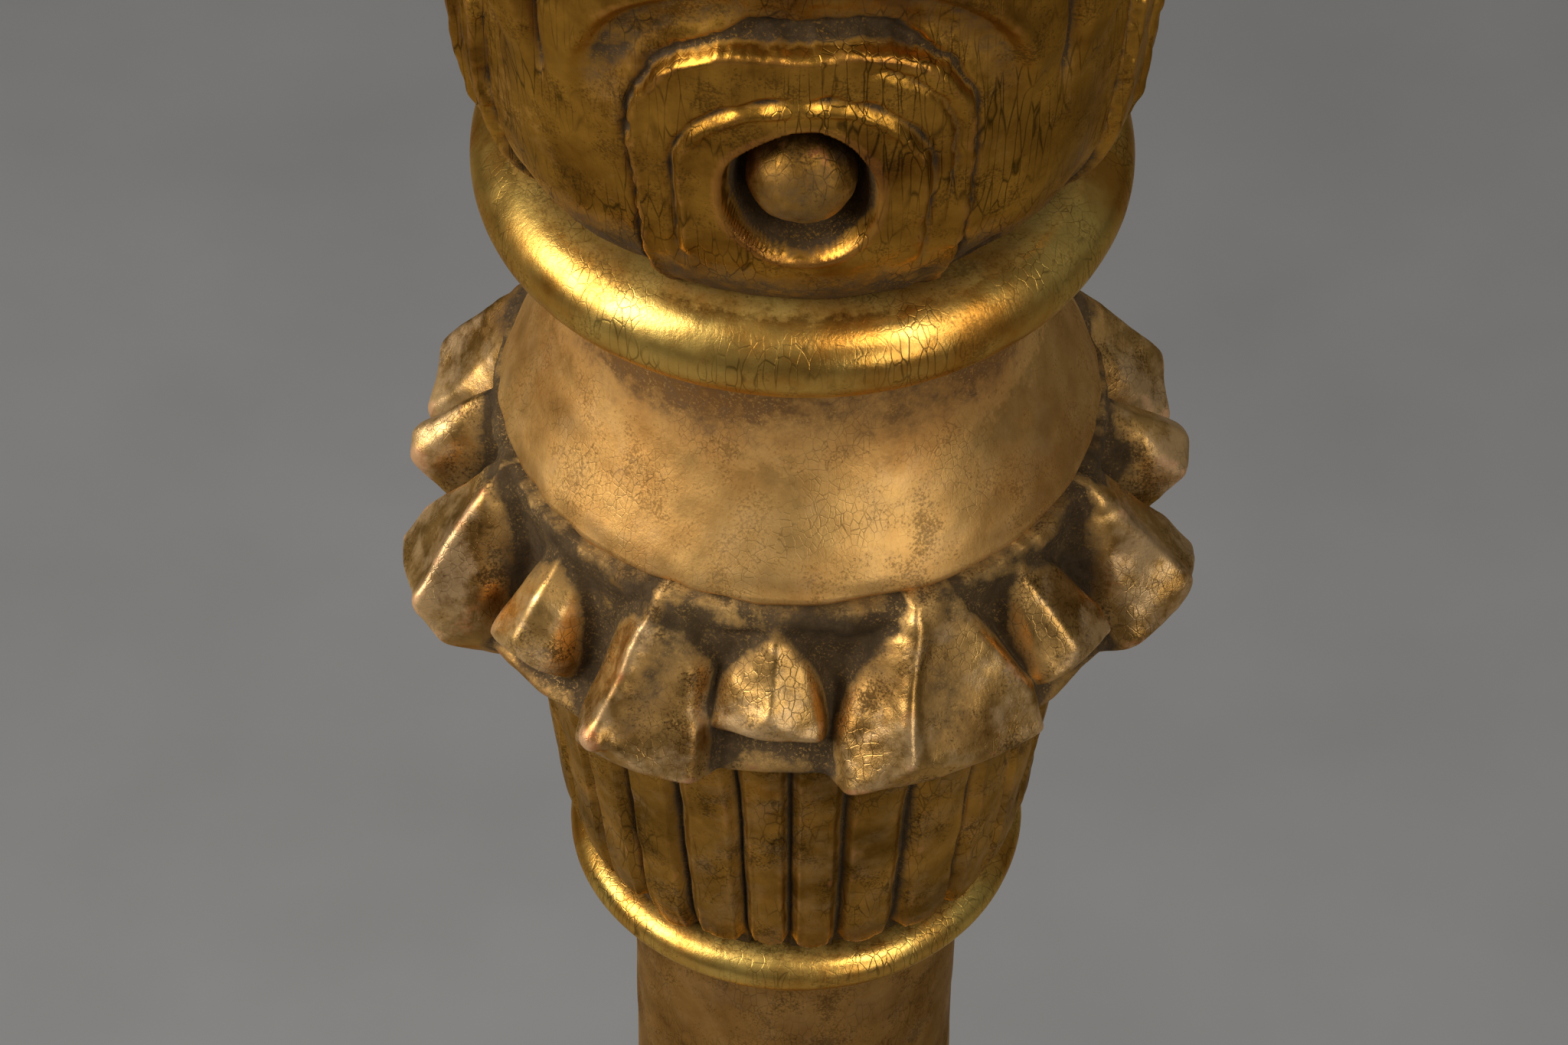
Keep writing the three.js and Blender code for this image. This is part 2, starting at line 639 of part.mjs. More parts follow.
place("base_washer", squarePlate(WASHER_SIDE, WASHER_Z, WASHER_THICKNESS), iron);
place("tie_nut", squarePlate(NUT_SIDE, NUT_Z, NUT_THICKNESS), iron);

export default stand;
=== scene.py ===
# %% [markdown]
# # A gilded torchere
# A torchere is a tall floor stand for one candle. This one was turned and carved in wood, coated with
# chalky gesso and red clay bole, and covered with gold leaf.

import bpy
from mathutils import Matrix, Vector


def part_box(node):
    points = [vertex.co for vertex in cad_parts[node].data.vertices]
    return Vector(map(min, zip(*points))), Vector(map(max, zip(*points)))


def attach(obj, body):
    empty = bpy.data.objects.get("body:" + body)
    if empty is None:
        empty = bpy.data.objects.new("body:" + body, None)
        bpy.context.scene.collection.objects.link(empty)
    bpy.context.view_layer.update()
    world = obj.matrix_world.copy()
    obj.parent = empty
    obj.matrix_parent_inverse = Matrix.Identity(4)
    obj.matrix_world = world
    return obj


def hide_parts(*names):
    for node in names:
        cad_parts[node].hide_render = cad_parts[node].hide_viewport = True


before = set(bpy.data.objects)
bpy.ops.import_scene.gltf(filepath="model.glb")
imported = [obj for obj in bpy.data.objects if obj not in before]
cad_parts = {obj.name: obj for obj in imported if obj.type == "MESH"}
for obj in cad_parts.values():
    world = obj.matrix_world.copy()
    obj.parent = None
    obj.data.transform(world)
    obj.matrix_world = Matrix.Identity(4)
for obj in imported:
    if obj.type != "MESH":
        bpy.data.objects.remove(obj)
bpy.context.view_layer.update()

# %% Units
import math

import bpy
import numpy as np
from mathutils import Matrix, Vector

MM = 0.001  # the makers' millimetres, in Blender's metres
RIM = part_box("leaf_ruff")[1].z / MM  # the collar's lower rim, which the camera looks at
print("collar rim at", round(RIM, 1), "mm")

# %% [markdown]
# ## The camera
# The photograph looks down at the stem from a metre away with a long lens, so parallel edges stay nearly
# parallel. A camera can be aimed with a constraint or turned by hand. We turn it, because the picture also
# leans by half a degree, and then aim it a little lower and to the left, as the photograph is framed.

# %% Camera
LOOK_DOWN = math.radians(45.5)
LEAN = math.radians(0.55)
AIM_LOWER = math.radians(1.45)
AIM_LEFT = math.radians(0.17)
DISTANCE = 1.0
camera = bpy.data.objects.new("camera", bpy.data.cameras.new("camera"))
bpy.context.scene.collection.objects.link(camera)
camera.location = (0, -DISTANCE * math.cos(LOOK_DOWN), RIM * MM + DISTANCE * math.sin(LOOK_DOWN))
towards_rim = Matrix.Rotation(math.pi / 2 - LOOK_DOWN, 3, "X") @ Matrix.Rotation(LEAN, 3, "Z")
framing = Matrix.Rotation(-AIM_LOWER, 3, "X") @ Matrix.Rotation(AIM_LEFT, 3, "Y")
camera.rotation_euler = (towards_rim @ framing).to_euler()
camera.data.sensor_width = 36
camera.data.lens = 123
camera.data.clip_end = 50
bpy.context.scene.camera = camera
print("camera at", tuple(round(v, 3) for v in camera.location))

# %% [markdown]
# ## Colours and nodes
# Colours are written as the sRGB hex values a painter would pick, and one function makes them linear.
# One more adds a shader node with its settings and its links, so that each material reads as a list.

# %% Colour and node helpers
def linear(hex_colour):
    channels = [int(hex_colour[i : i + 2], 16) / 255 for i in (1, 3, 5)]
    return (*[c / 12.92 if c <= 0.04045 else ((c + 0.055) / 1.055) ** 2.4 for c in channels], 1.0)


def add(tree, kind, inputs=None, **settings):
    node = tree.nodes.new("ShaderNode" + kind)
    for name, value in settings.items():
        setattr(node, name, value)
    for socket, value in (inputs or {}).items():
        if isinstance(value, bpy.types.NodeSocket):
            tree.links.new(value, node.inputs[socket])
        else:
            node.inputs[socket].default_value = value
    return node


def blank_material(name):
    material = bpy.data.materials.new(name)
    material.use_nodes = True
    material.node_tree.nodes.clear()
    return material, material.node_tree


MIX_A, MIX_B, MIX_OUT = 6, 7, 2  # the colour sockets of a Mix node
print("white is", linear("#FFFFFF"))

# %% [markdown]
# ## Gilding
# Gold leaf is a metal, so its colour is its reflection. What makes it look old is what lies under and over
# it: a net of cracks that the gesso opened, red bole where hands rubbed the leaf away, and dust and wax in
# the hollows, which also carry painted shade. Two numbers stored on the meshes tell the shader where:
# *relief*, in millimetres, is positive on a rubbed edge, and *hollow* is negative deep between two carvings
# and is pushed lower wherever a piece asks for more dust and painted shade.

# %% Gilding
def gilding(name, gold, brown, dust_and_shade, rough, crack_mm, crack_tall, cracks, bole, speckle, pale, grain):
    material, tree = blank_material(name)
    place = add(tree, "TexCoord").outputs["Object"]
    relief = add(tree, "Attribute", attribute_name="relief").outputs["Fac"]
    hollow = add(tree, "Attribute", attribute_name="hollow").outputs["Fac"]
    upright = add(tree, "Mapping", {"Vector": place, "Scale": (1, 1, 1 / crack_tall)}).outputs[0]

    # Broad clouds of thicker and thinner leaf, 20 mm across.
    cloud = add(tree, "TexNoise", {"Vector": place, "Scale": 1 / (20 * MM), "Detail": 6, "Roughness": 0.62})
    tone = add(tree, "MapRange", {0: cloud.outputs[0], 1: 0.36, 2: 0.64}).outputs[0]
    leaf = add(tree, "Mix", {0: tone, MIX_A: linear(brown), MIX_B: linear(gold)}, data_type="RGBA")

    # Fine pepper of dirt: grains of about half a millimetre.
    pepper = add(tree, "TexNoise", {"Vector": place, "Scale": 1 / (0.55 * MM), "Detail": 3, "Roughness": 0.7})
    patch = add(tree, "TexNoise", {"Vector": place, "Scale": 1 / (9 * MM), "Detail": 3})
    mixed = add(tree, "Math", {0: pepper.outputs[0], 1: patch.outputs[0]}, operation="ADD").outputs[0]
    dots = add(tree, "MapRange", {0: mixed, 1: 1.06, 2: 1.22, 4: speckle}).outputs[0]
    peppered = add(
        tree, "Mix", {0: dots, MIX_A: leaf.outputs[MIX_OUT], MIX_B: linear("#3A2610")}, data_type="RGBA"
    )

    # Rubbed edges show the red bole, in patches.
    rub = add(tree, "TexNoise", {"Vector": place, "Scale": 1 / (5 * MM), "Detail": 5, "Roughness": 0.7})
    worn = add(tree, "Math", {0: rub.outputs[0], 1: 2.6, 2: relief}, operation="MULTIPLY_ADD").outputs[0]
    bared = add(tree, "MapRange", {0: worn, 1: 1.85, 2: 2.25, 4: bole}).outputs[0]
    boled = add(
        tree, "Mix", {0: bared, MIX_A: peppered.outputs[MIX_OUT], MIX_B: linear("#9C5A33")}, data_type="RGBA"
    )

    # On proud places the leaf has worn thin, and the pale gesso shows through it.
    thin = add(tree, "TexNoise", {"Vector": place, "Scale": 1 / (8 * MM), "Detail": 6, "Roughness": 0.68})
    proud = add(tree, "Math", {0: hollow, 1: 0.06, 2: thin.outputs[0]}, operation="MULTIPLY_ADD").outputs[0]
    chalky = add(tree, "MapRange", {0: proud, 1: 0.5, 2: 0.66, 4: pale}).outputs[0]
    chalked = add(
        tree, "Mix", {0: chalky, MIX_A: boled.outputs[MIX_OUT], MIX_B: linear("#C9A87C")}, data_type="RGBA"
    )

    # Cracks in the gesso: the edges of tall cells, fading in and out.
    bend = add(tree, "TexNoise", {"Vector": upright, "Scale": 1 / (4 * MM), "Detail": 2}).outputs[1]
    bent = add(tree, "Mix", {0: 0.0009, MIX_A: upright, MIX_B: bend}, data_type="RGBA").outputs[MIX_OUT]
    cells = add(
        tree, "TexVoronoi", {"Vector": bent, "Scale": 1 / (crack_mm * MM)}, feature="DISTANCE_TO_EDGE"
    ).outputs["Distance"]
    line = add(tree, "MapRange", {0: cells, 1: 0.0, 2: 0.06, 3: 1, 4: 0}).outputs[0]
    where = add(tree, "TexNoise", {"Vector": place, "Scale": 1 / (14 * MM), "Detail": 3}).outputs[0]
    shown = add(tree, "MapRange", {0: where, 1: 0.42, 2: 0.6, 4: cracks}).outputs[0]
    crack = add(tree, "Math", {0: line, 1: shown}, operation="MULTIPLY").outputs[0]
    cracked = add(
        tree, "Mix", {0: crack, MIX_A: chalked.outputs[MIX_OUT], MIX_B: linear("#1C1006")}, data_type="RGBA"
    )

    # Dust and old wax lie in the hollows, and the same brown cover is painted shade there: deep hollows, thin
    # carved lines and grimed places get it, in two browns and with a ragged edge. Grains of leaf still shine
    # through them.
    ragged = add(tree, "TexNoise", {"Vector": place, "Scale": 1 / (3 * MM), "Detail": 6, "Roughness": 0.7})
    line_cut = add(tree, "Math", {0: relief, 1: 0}, operation="MINIMUM").outputs[0]
    deep = add(tree, "Math", {0: line_cut, 1: 3, 2: hollow}, operation="MULTIPLY_ADD").outputs[0]
    lower = add(tree, "Math", {0: ragged.outputs[0], 1: -4, 2: deep}, operation="MULTIPLY_ADD").outputs[0]
    bright = add(tree, "MapRange", {0: pepper.outputs[0], 1: 0.56, 2: 0.66, 3: 0.95, 4: 0.45}).outputs[0]
    dust_and_shade_cover = add(tree, "MapRange", {0: lower, 1: -2.3, 2: -4.8, 4: bright}).outputs[0]
    caked = add(tree, "MapRange", {0: ragged.outputs[0], 1: 0.42, 2: 0.66, 4: 0.5}).outputs[0]
    dirt_and_shade = add(tree, "Mix", {0: caked, MIX_A: linear(dust_and_shade), MIX_B: linear("#4C3A28")}, data_type="RGBA")
    colour = add(
        tree,
        "Mix",
        {0: dust_and_shade_cover, MIX_A: cracked.outputs[MIX_OUT], MIX_B: dirt_and_shade.outputs[MIX_OUT]},
        data_type="RGBA",
    ).outputs[MIX_OUT]

    # Dust with its painted shade, and bole, aren't metal, and they are rougher than the leaf.
    worn_off = add(tree, "Math", {0: bared, 1: chalky}, operation="ADD").outputs[0]
    clay = add(
        tree, "Math", {0: worn_off, 1: 0.6, 2: dust_and_shade_cover}, operation="MULTIPLY_ADD", use_clamp=True
    ).outputs[0]
    metal = add(tree, "MapRange", {0: clay, 3: 0.96, 4: 0.2}).outputs[0]
    uneven = add(tree, "MapRange", {0: patch.outputs[0], 1: 0.3, 2: 0.7, 3: rough - 0.06, 4: rough + 0.09})
    matt = add(tree, "Math", {0: dots, 1: 0.15, 2: uneven.outputs[0]}, operation="MULTIPLY_ADD").outputs[0]
    roughness = add(tree, "MapRange", {0: dust_and_shade_cover, 3: matt, 4: 0.9}).outputs[0]

    # The leaf follows brush marks in the gesso, 0.04 mm deep, and the cracks cut into it.
    strokes = add(
        tree, "TexNoise", {"Vector": upright, "Scale": 1 / (1.1 * MM), "Detail": 4, "Roughness": 0.6}
    ).outputs[0]
    marks = add(tree, "Math", {0: pepper.outputs[0], 1: 0.5, 2: strokes}, operation="MULTIPLY_ADD").outputs[0]
    surface = add(tree, "Math", {0: crack, 1: -0.9, 2: marks}, operation="MULTIPLY_ADD").outputs[0]
    bump = add(tree, "Bump", {"Strength": grain, "Distance": 0.12 * MM, "Height": surface}).outputs[0]
    shader = add(
        tree,
        "BsdfPrincipled",
        {
            "Base Color": colour,
            "Metallic": metal,
            "Roughness": roughness,
            "Specular Tint": linear("#F2DDB8"),
            "Normal": bump,
        },
    )
    add(tree, "OutputMaterial", {"Surface": shader.outputs[0]})
    return material


# %% The gilded finishes
# Water gilding, burnished with an agate: yellow and glossy, with upright cracks about 2 mm apart.
burnished_gold = gilding(
    "burnished_water_gilding",
    gold="#E6BE62", brown="#BA7F30", dust_and_shade="#2A1C0C", rough=0.3,
    crack_mm=1.7, crack_tall=18, cracks=0.6, bole=0.25, speckle=0.45, pale=0, grain=0.45,
)
# The same leaf on the carved bulb, browner under old varnish, cracked along the wood's upright grain.
varnished_gold = gilding(
    "varnished_water_gilding",
    gold="#C08A34", brown="#7C5018", dust_and_shade="#1E150B", rough=0.34,
    crack_mm=1.9, crack_tall=11, cracks=0.8, bole=0.25, speckle=0.6, pale=0, grain=0.6,
)
# Bronze powder paint over the collar: matt and peppered with dirt; painted shade makes it browner under the
# torus.
bronze_paint = gilding(
    "bronze_powder_paint",
    gold="#D8A760", brown="#C08A48", dust_and_shade="#5A3812", rough=0.47,
    crack_mm=1.4, crack_tall=1.6, cracks=0.4, bole=0.3, speckle=0.5, pale=0.15, grain=0.45,
)
# The same paint on the shaft and the neck, browned by age.
tarnished_paint = gilding(
    "tarnished_bronze_paint",
    gold="#B28446", brown="#845A2C", dust_and_shade="#33271A", rough=0.45,
    crack_mm=1.6, crack_tall=2.5, cracks=0.4, bole=0.3, speckle=0.6, pale=0.1, grain=0.45,
)
# Carved leaves: matt leaf, worn pale where it stands proud, thick brown dirt and painted shade in the
# valleys.
carved_gold = gilding(
    "carved_matt_gilding",
    gold="#D8A860", brown="#8C6430", dust_and_shade="#20170E", rough=0.36,
    crack_mm=1.6, crack_tall=1.5, cracks=0.45, bole=0.8, speckle=0.8, pale=0.5, grain=0.6,
)
# The flutes, the bosses and the foot: the same leaf toned with brown size, which dulls it.
toned_gold = gilding(
    "toned_matt_gilding",
    gold="#B8863A", brown="#74501C", dust_and_shade="#271D10", rough=0.42,
    crack_mm=2.0, crack_tall=3, cracks=0.6, bole=0.6, speckle=0.7, pale=0.15, grain=0.55,
)
print("gilded finishes", [m.name for m in bpy.data.materials if m.node_tree and "gild" in m.name])

# %% [markdown]
# ## From a profile to a mesh
# A turner cuts one profile and spins it. We do the same with numbers: the profile's points, turned through
# small steps, make a grid of points, and carving pushes the grid in or out. A Screw modifier would spin a
# profile too, but it can't carve. The grid also tells us what sticks out: each point less the average of
# its neighbours.

# %% The turner's grid
def bow(radius, height, across, up, start, end, count):
    angles = np.radians(np.linspace(start, end, count))
    return np.stack([radius + across * np.cos(angles), height + up * np.sin(angles)], 1)


def step(value, start, end):
    t = np.clip((value - start) / (end - start), 0, 1)
    return t * t * (3 - 2 * t)


def mound(value, middle, width):
    return np.exp(-(((value - middle) / width) ** 2))


def smoothed(values, reach, **padding):
    """Each value averaged with its neighbours up to reach places away."""
    padded = np.pad(values, reach, **(padding or {"mode": "edge"}))
    return np.convolve(padded, np.ones(2 * reach + 1) / (2 * reach + 1), "valid")


def evenly(points, spacing):
    points = np.array(points, float)
    length = np.concatenate([[0], np.cumsum(np.linalg.norm(np.diff(points, axis=0), axis=1))])
    at = np.linspace(0, length[-1], max(3, int(length[-1] / spacing)))
    return np.stack([np.interp(at, length, points[:, 0]), np.interp(at, length, points[:, 1])], 1)


def softened(grid, size):
    """Each point of the grid averaged with those up to about size millimetres away."""
    gap_up = np.linalg.norm(np.diff(grid, axis=0), axis=2).mean()
    gap_round = np.linalg.norm(np.diff(grid, axis=1), axis=2).mean()
    row = np.arange(len(grid))
    weights = np.exp(-0.5 * ((row[:, None] - row) * gap_up / size) ** 2)
    grid = np.tensordot(weights / weights.sum(1, keepdims=True), grid, 1)
    waves = np.fft.rfftfreq(grid.shape[1]) * 2 * math.pi
    kept = np.exp(-0.5 * (waves * size / gap_round) ** 2)
    return np.fft.irfft(np.fft.rfft(grid, axis=1) * kept[None, :, None], grid.shape[1], axis=1)


def outward(points):
    along = np.gradient(points, axis=0)
    around = (np.roll(points, -1, 1) - np.roll(points, 1, 1)) / 2
    normal = np.cross(around, along)
    return normal / np.maximum(np.linalg.norm(normal, axis=2, keepdims=True), 1e-9)


def waver(points, size, seed):
    random = np.random.default_rng(seed)
    total = np.zeros(points.shape[:-1])
    for direction in random.normal(size=(12, 3)):
        wave = direction / np.linalg.norm(direction) * 2 * math.pi / (size * random.uniform(0.7, 1.5))
        total += np.sin(points @ wave + random.uniform(0, 2 * math.pi))
    return total / 4


print("profile of a half round:", len(evenly(bow(0, 0, 9, 9, -90, 90, 40), 0.5)), "points")

# %% From the grid to a piece
SPIGOT = 15  # the radius of the round peg under each piece
SPIGOT_LENGTH = 11
PLAY = 0.3
RING_BORE = SPIGOT + PLAY
BORE = 6.3  # for the tie rod


def spun(profile, steps):
    turn = np.linspace(0, 2 * math.pi, steps, endpoint=False)
    radius, height = profile[:, :1], profile[:, 1:]
    return np.stack([radius * np.sin(turn), -radius * np.cos(turn), height + 0 * turn], 2)


def make_piece(node, finish, seen, hidden, body="stand", grime_and_shade=0, flat_ends=False):
    """seen is the grid that shows, in millimetres, and hidden the profile that closes it inside."""
    normal = outward(seen)
    rows, steps = seen.shape[:2]
    inner = spun(np.array(hidden, float), steps) if len(hidden) else np.zeros((0, steps, 3))
    grid = np.concatenate([seen, inner])
    count = len(grid)
    index = np.arange(count * steps).reshape(count, steps)
    above = np.roll(index, -1, 0) if len(hidden) else index[1:]
    below = index if len(hidden) else index[:-1]
    quads = np.stack([below, np.roll(below, -1, 1), np.roll(above, -1, 1), above], 2).reshape(-1, 4)
    ends = [index[0, ::-1].tolist(), index[-1].tolist()] if flat_ends else []
    mesh = bpy.data.meshes.new(node)
    mesh.from_pydata((grid.reshape(-1, 3) * MM).tolist(), [], quads.tolist() + ends)
    # hollow: how far each point sinks below its neighbours, lowered further by the dirt and painted shade the
    # piece asks for.
    for name, size, extra in (("relief", 1.6, 0), ("hollow", 5, grime_and_shade)):
        values = np.zeros(count * steps, np.float32)
        values[: rows * steps] = (np.sum((seen - softened(seen, size)) * normal, 2) - extra).ravel()
        mesh.attributes.new(name, "FLOAT", "POINT").data.foreach_set("value", values)
    mesh.materials.append(finish)
    mesh.polygons.foreach_set("use_smooth", [True] * len(mesh.polygons))
    piece = bpy.data.objects.new(node + "_look", mesh)
    bpy.context.scene.collection.objects.link(piece)
    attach(piece, body)
    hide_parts(node)
    print(piece.name, len(mesh.vertices), "points")
    return piece


def closing(profile, through=None, socket=False, bore=BORE):
    """The hidden way from the top of a profile back to its foot: a socket, the bore, and a spigot that
    goes through a ring of the height given and into the next socket."""
    top, foot = profile[-1][1], profile[0][1]
    deep = top - SPIGOT_LENGTH - PLAY
    path = [(RING_BORE, top), (RING_BORE, deep), (bore, deep)] if socket else [(bore, top)]
    if through is None:
        return path + [(bore, foot)]
    tip = foot - through - SPIGOT_LENGTH
    return path + [(bore, tip), (SPIGOT, tip), (SPIGOT, foot)]


def turned(
    node, slot, finish, profile, steps=360, spacing=1.0, carve=None, unevenness=0.12, joint_dirt_and_shade=0,
    stain_and_shade=None, **ends
):
    profile = evenly(profile, spacing)
    seen = spun(profile, steps)
    degrees = np.linspace(0, 360, steps, endpoint=False)[None, :] + 0 * seen[..., 0]
    push = unevenness * waver(seen, 30, len(node)) + 0.15 * unevenness * waver(seen, 6, len(node) + 7)
    push = push + (carve(degrees, seen) if carve else 0)
    # Dirt with painted shade: each piece darkens near its ends, where it meets the next, and wherever carving
    # cuts deeper than 1.4 mm.
    near = mound(spacing * np.arange(len(profile))[:, None], 0, 4.5)  # dirt and painted shade at the joints
    grime_and_shade = joint_dirt_and_shade * (near + near[::-1]) + 1.1 * np.clip(-push - 1.4, 0, 4)
    grime_and_shade = grime_and_shade + (stain_and_shade(degrees, seen) if stain_and_shade else 0)
    seen = seen + outward(seen) * push[..., None]
    return make_piece(node, finish, seen, closing(profile, **ends), grime_and_shade=grime_and_shade)


def height_of(node, top=False):
    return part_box(node)[1 if top else 0].z / MM


print("sockets", 2 * RING_BORE, "mm across, for spigots of", 2 * SPIGOT)

# %% [markdown]
# ## Rings
# Turners mark each joint of a stem with a ring: a half round, here threaded on the spigot of the piece
# above it. The largest is the torus under the bulb. All are burnished, because a burnisher rides easily
# over a convex shape, and that is why they are the brightest parts.

# %% Rings
def ring(node, spacing=1.0, steps=360):
    low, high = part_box(node)
    half = (high.z - low.z) / MM / 2
    profile = bow(high.x / MM - half, low.z / MM + half, half, half, -90, 90, 60)
    # A ring's top and underside, against its neighbours, get dirt and painted shade.
    turned(node, "bright_gold", burnished_gold, profile, steps, spacing, None, 0.1, 2.6, bore=RING_BORE)


ring("torus_ring", 0.5, 900)
ring("column_ring", 0.5, 720)
for name in ("base_torus", "base_ring", "knop_ring", "shoulder_ring", "neck_ring"):
    ring(name)

# %% [markdown]
# ## The collar and the shaft
# The collar is a scotia, a hollow moulding: it flares straight from a thin rim on the leaves, curves up into
# a narrow waist, and ends in a little bead under the torus. The shaft is a plain cylinder. Both wear bronze
# powder paint, which is duller than leaf.

# %% Collar and shaft
COLLAR_RIM = 56
COLLAR_WAIST = 43
collar_top = height_of("scotia_collar", True)
flare = [(0, 1), (0.07, 0.97), (0.27, 0.6), (0.48, 0.25), (0.6, 0.1), (0.72, 0.025), (0.86, 0), (0.93, 0)]
up = np.linspace(0.05, 0.93, 90)
out = smoothed(np.interp(up, *np.array(flare).T), 5, mode="reflect", reflect_type="odd")
collar_tall = collar_top - RIM
collar_profile = [
    (COLLAR_RIM - 2, RIM),
    (COLLAR_RIM - 0.6, RIM + 0.8),
    (COLLAR_RIM, RIM + 2),
    *zip(COLLAR_WAIST + (COLLAR_RIM - COLLAR_WAIST) * out, RIM + up * collar_tall),
    *bow(COLLAR_WAIST + 0.4, collar_top - 2, 1.6, 1.6, -90, 70, 8),
]


def ragged_rim(degrees, seen):
    near_rim = np.clip(1 - (seen[..., 2] - RIM) / 6, 0, 1)
    return 0.5 * near_rim * waver(seen, 9, 4)


# Painted shade under the torus: the upper part of the waist is darkened, a little unevenly round the collar.
def waist_shade(degrees, seen):
    up = (seen[..., 2] - RIM) / collar_tall
    return 2.4 * step(up, 0.4, 0.75) * (1 + 0.4 * waver(seen, 45, 8))


turned(
    "scotia_collar", "bronze_paint", bronze_paint, collar_profile, 720, 0.7, ragged_rim, 0.2, 0.8, waist_shade,
    through=42, socket=True,
)
SHAFT_RADIUS = 33.2
SHAFT_TALL = 410
shaft_top = height_of("column_ring")
shaft = [(SHAFT_RADIUS, shaft_top - SHAFT_TALL), (SHAFT_RADIUS, shaft_top)]
turned("column", "bronze_paint", tarnished_paint, shaft, 240, 2, None, 0.25, through=12, socket=True)

# %% [markdown]
# ## The ruff of leaves
# Sixteen leaf tips, large and small by turns, hang over the fluted cup. Each is a wedge left by a few flat
# cuts of a broad chisel: two slopes that meet in a ridge, and a lip below. A Boolean of sixteen blocks
# could make them, but a carver's knife is simpler: seen from the axis, the wood goes out to the nearest of
# a leaf's cutting planes, and of all leaves the one that reaches furthest is what we see.

# %% Leaf tips
# Each leaf: the degrees of its left edge, ridge and right edge at the collar, the same three at its lip, how
# far the lip reaches from the axis, its height below the collar, how far its left and right corners fall
# back from the reach, and how much higher than usual its underside is cut.
LARGE_LEAVES = [
    ((15, 21, 29), (5.5, 16, 42), 73.4, -26, 6, 1.5, 0),
    ((61, 66, 73), (61, 71, 85), 77.6, -25, 9, 3, 2),
    ((111, 118, 125), (104, 114, 130), 76.2, -21.5, 3, 3, 1),
    ((154, 160, 166), (148, 160, 173), 77, -25, 4, 4, 1),
    ((-167, -161, -155), (-173, -161, -148), 77, -25, 4, 4, 1),
    ((-126, -119, -112), (-130, -115, -104), 76.2, -21.5, 3, 3, 1),
    ((-73, -69, -65), (-86, -66, -60), 78, -25, 3, 6.5, 1.1),
    ((-32, -26, -20), (-37.5, -30.5, -14), 73, -26, 5, 5, -1),
]
SMALL_LEAVES = [
    ((-6, -3.7, -1), (-16, -4.5, 6), 68.6, -22.5, 5.5, 3.5, 0),
    ((40, 44, 49), (40, 47.5, 60), 72.6, -22, 5, 3, 0),
    ((87, 90, 94), (86, 94, 102), 76, -18, 3, 3, 0),
    ((133, 138, 143), (131, 139, 147), 73.5, -19, 2, 2, 0),
    ((175, 180, 185), (174, 180, 187), 73, -20, 2, 2, 0),
    ((-143, -139, -134), (-147, -139, -131), 73.5, -19, 2, 2, 0),
    ((-96, -92, -89), (-101, -94, -88.5), 76, -19, 3, 3, 0),
    ((-52, -47.7, -43), (-58, -48.5, -41.5), 72, -22.5, 3, 5, 0),
]
# What lies between the leaves: its height below the collar and its distance from the axis.
VALLEY = [
    (0, 56.4), (-1.2, 57.4), (-4, 57.8), (-7, 56.4), (-18, 56.0), (-28, 58.3), (-33, 62), (-35.5, 63.5),
    (-38, 62.5), (-42, 57),
]
RUFF_STEPS = 1440
ruff_turn = np.linspace(0, 2 * math.pi, RUFF_STEPS, endpoint=False)[None, :]
RUFF_TALL = 42
ruff_drop = np.linspace(-RUFF_TALL, 0, 106)[:, None]
print(len(LARGE_LEAVES), "large and", len(SMALL_LEAVES), "small leaves")


# %% Cutting a leaf
def at(degrees, radius, drop):
    angle = math.radians(degrees)
    return np.array([radius * math.sin(angle), -radius * math.cos(angle), drop])


def cut_to(a, b, c):
    """How far out the plane through three points lies, at every angle and height of the ruff."""
    normal = np.cross(b - a, c - a)
    towards = normal[0] * np.sin(ruff_turn) - normal[1] * np.cos(ruff_turn)
    distance = (normal @ a - normal[2] * ruff_drop) / np.where(np.abs(towards) < 1e-6, 1e-6, towards)
    return np.where(distance < 0, 200, distance)


def leaf_radius(at_collar, at_lip, reach, lip, fall_left, fall_right, under, large):
    top = at(at_collar[1], 59.5 if large else 58.2, -1 if large else -4)
    ridge = at(at_lip[1], reach, lip)
    lower = 7 if large else 4.5
    left = at(at_lip[0], reach - fall_left, lip - lower)
    right = at(at_lip[2], reach - fall_right, lip - lower)
    out = np.minimum(cut_to(top, ridge, left), cut_to(top, ridge, right))
    if large:
        belly_drops = [-46, -42, -38, -35.5, -33, lip, 0]
        belly = np.interp(ruff_drop[:, 0] - under, belly_drops, [-18, -12, -7, -3.2, -1.6, 0, 0])
        out = np.minimum(out, reach + belly[:, None])
    else:
        out = np.minimum(out, cut_to(left, ridge, right))
        out = np.minimum(out, reach - 2.2 - 1.1 * np.maximum(lip - 8 - ruff_drop, 0))
    grown = np.clip((-ruff_drop - 2) / (-lip - 2), 0, 1) ** 0.75
    start, ridge_at, end = (c + (e - c) * grown for c, e in zip(at_collar, at_lip))
    off = (np.degrees(ruff_turn) - ridge_at + 540) % 360 - 180
    inside = np.minimum(off - start + ridge_at, end - ridge_at - off)
    bent = off - 0.9 * np.sin(0.33 * ruff_drop + at_lip[1])
    rib = mound(bent, 0, 1.8) * step(-ruff_drop, 2, 8) * step(ruff_drop, -33, -26) if large else 0
    return out + 1.1 * rib, step(inside, -0.6, 2.2)


print("a leaf's ridge starts at", at(0, 59.5, -1))

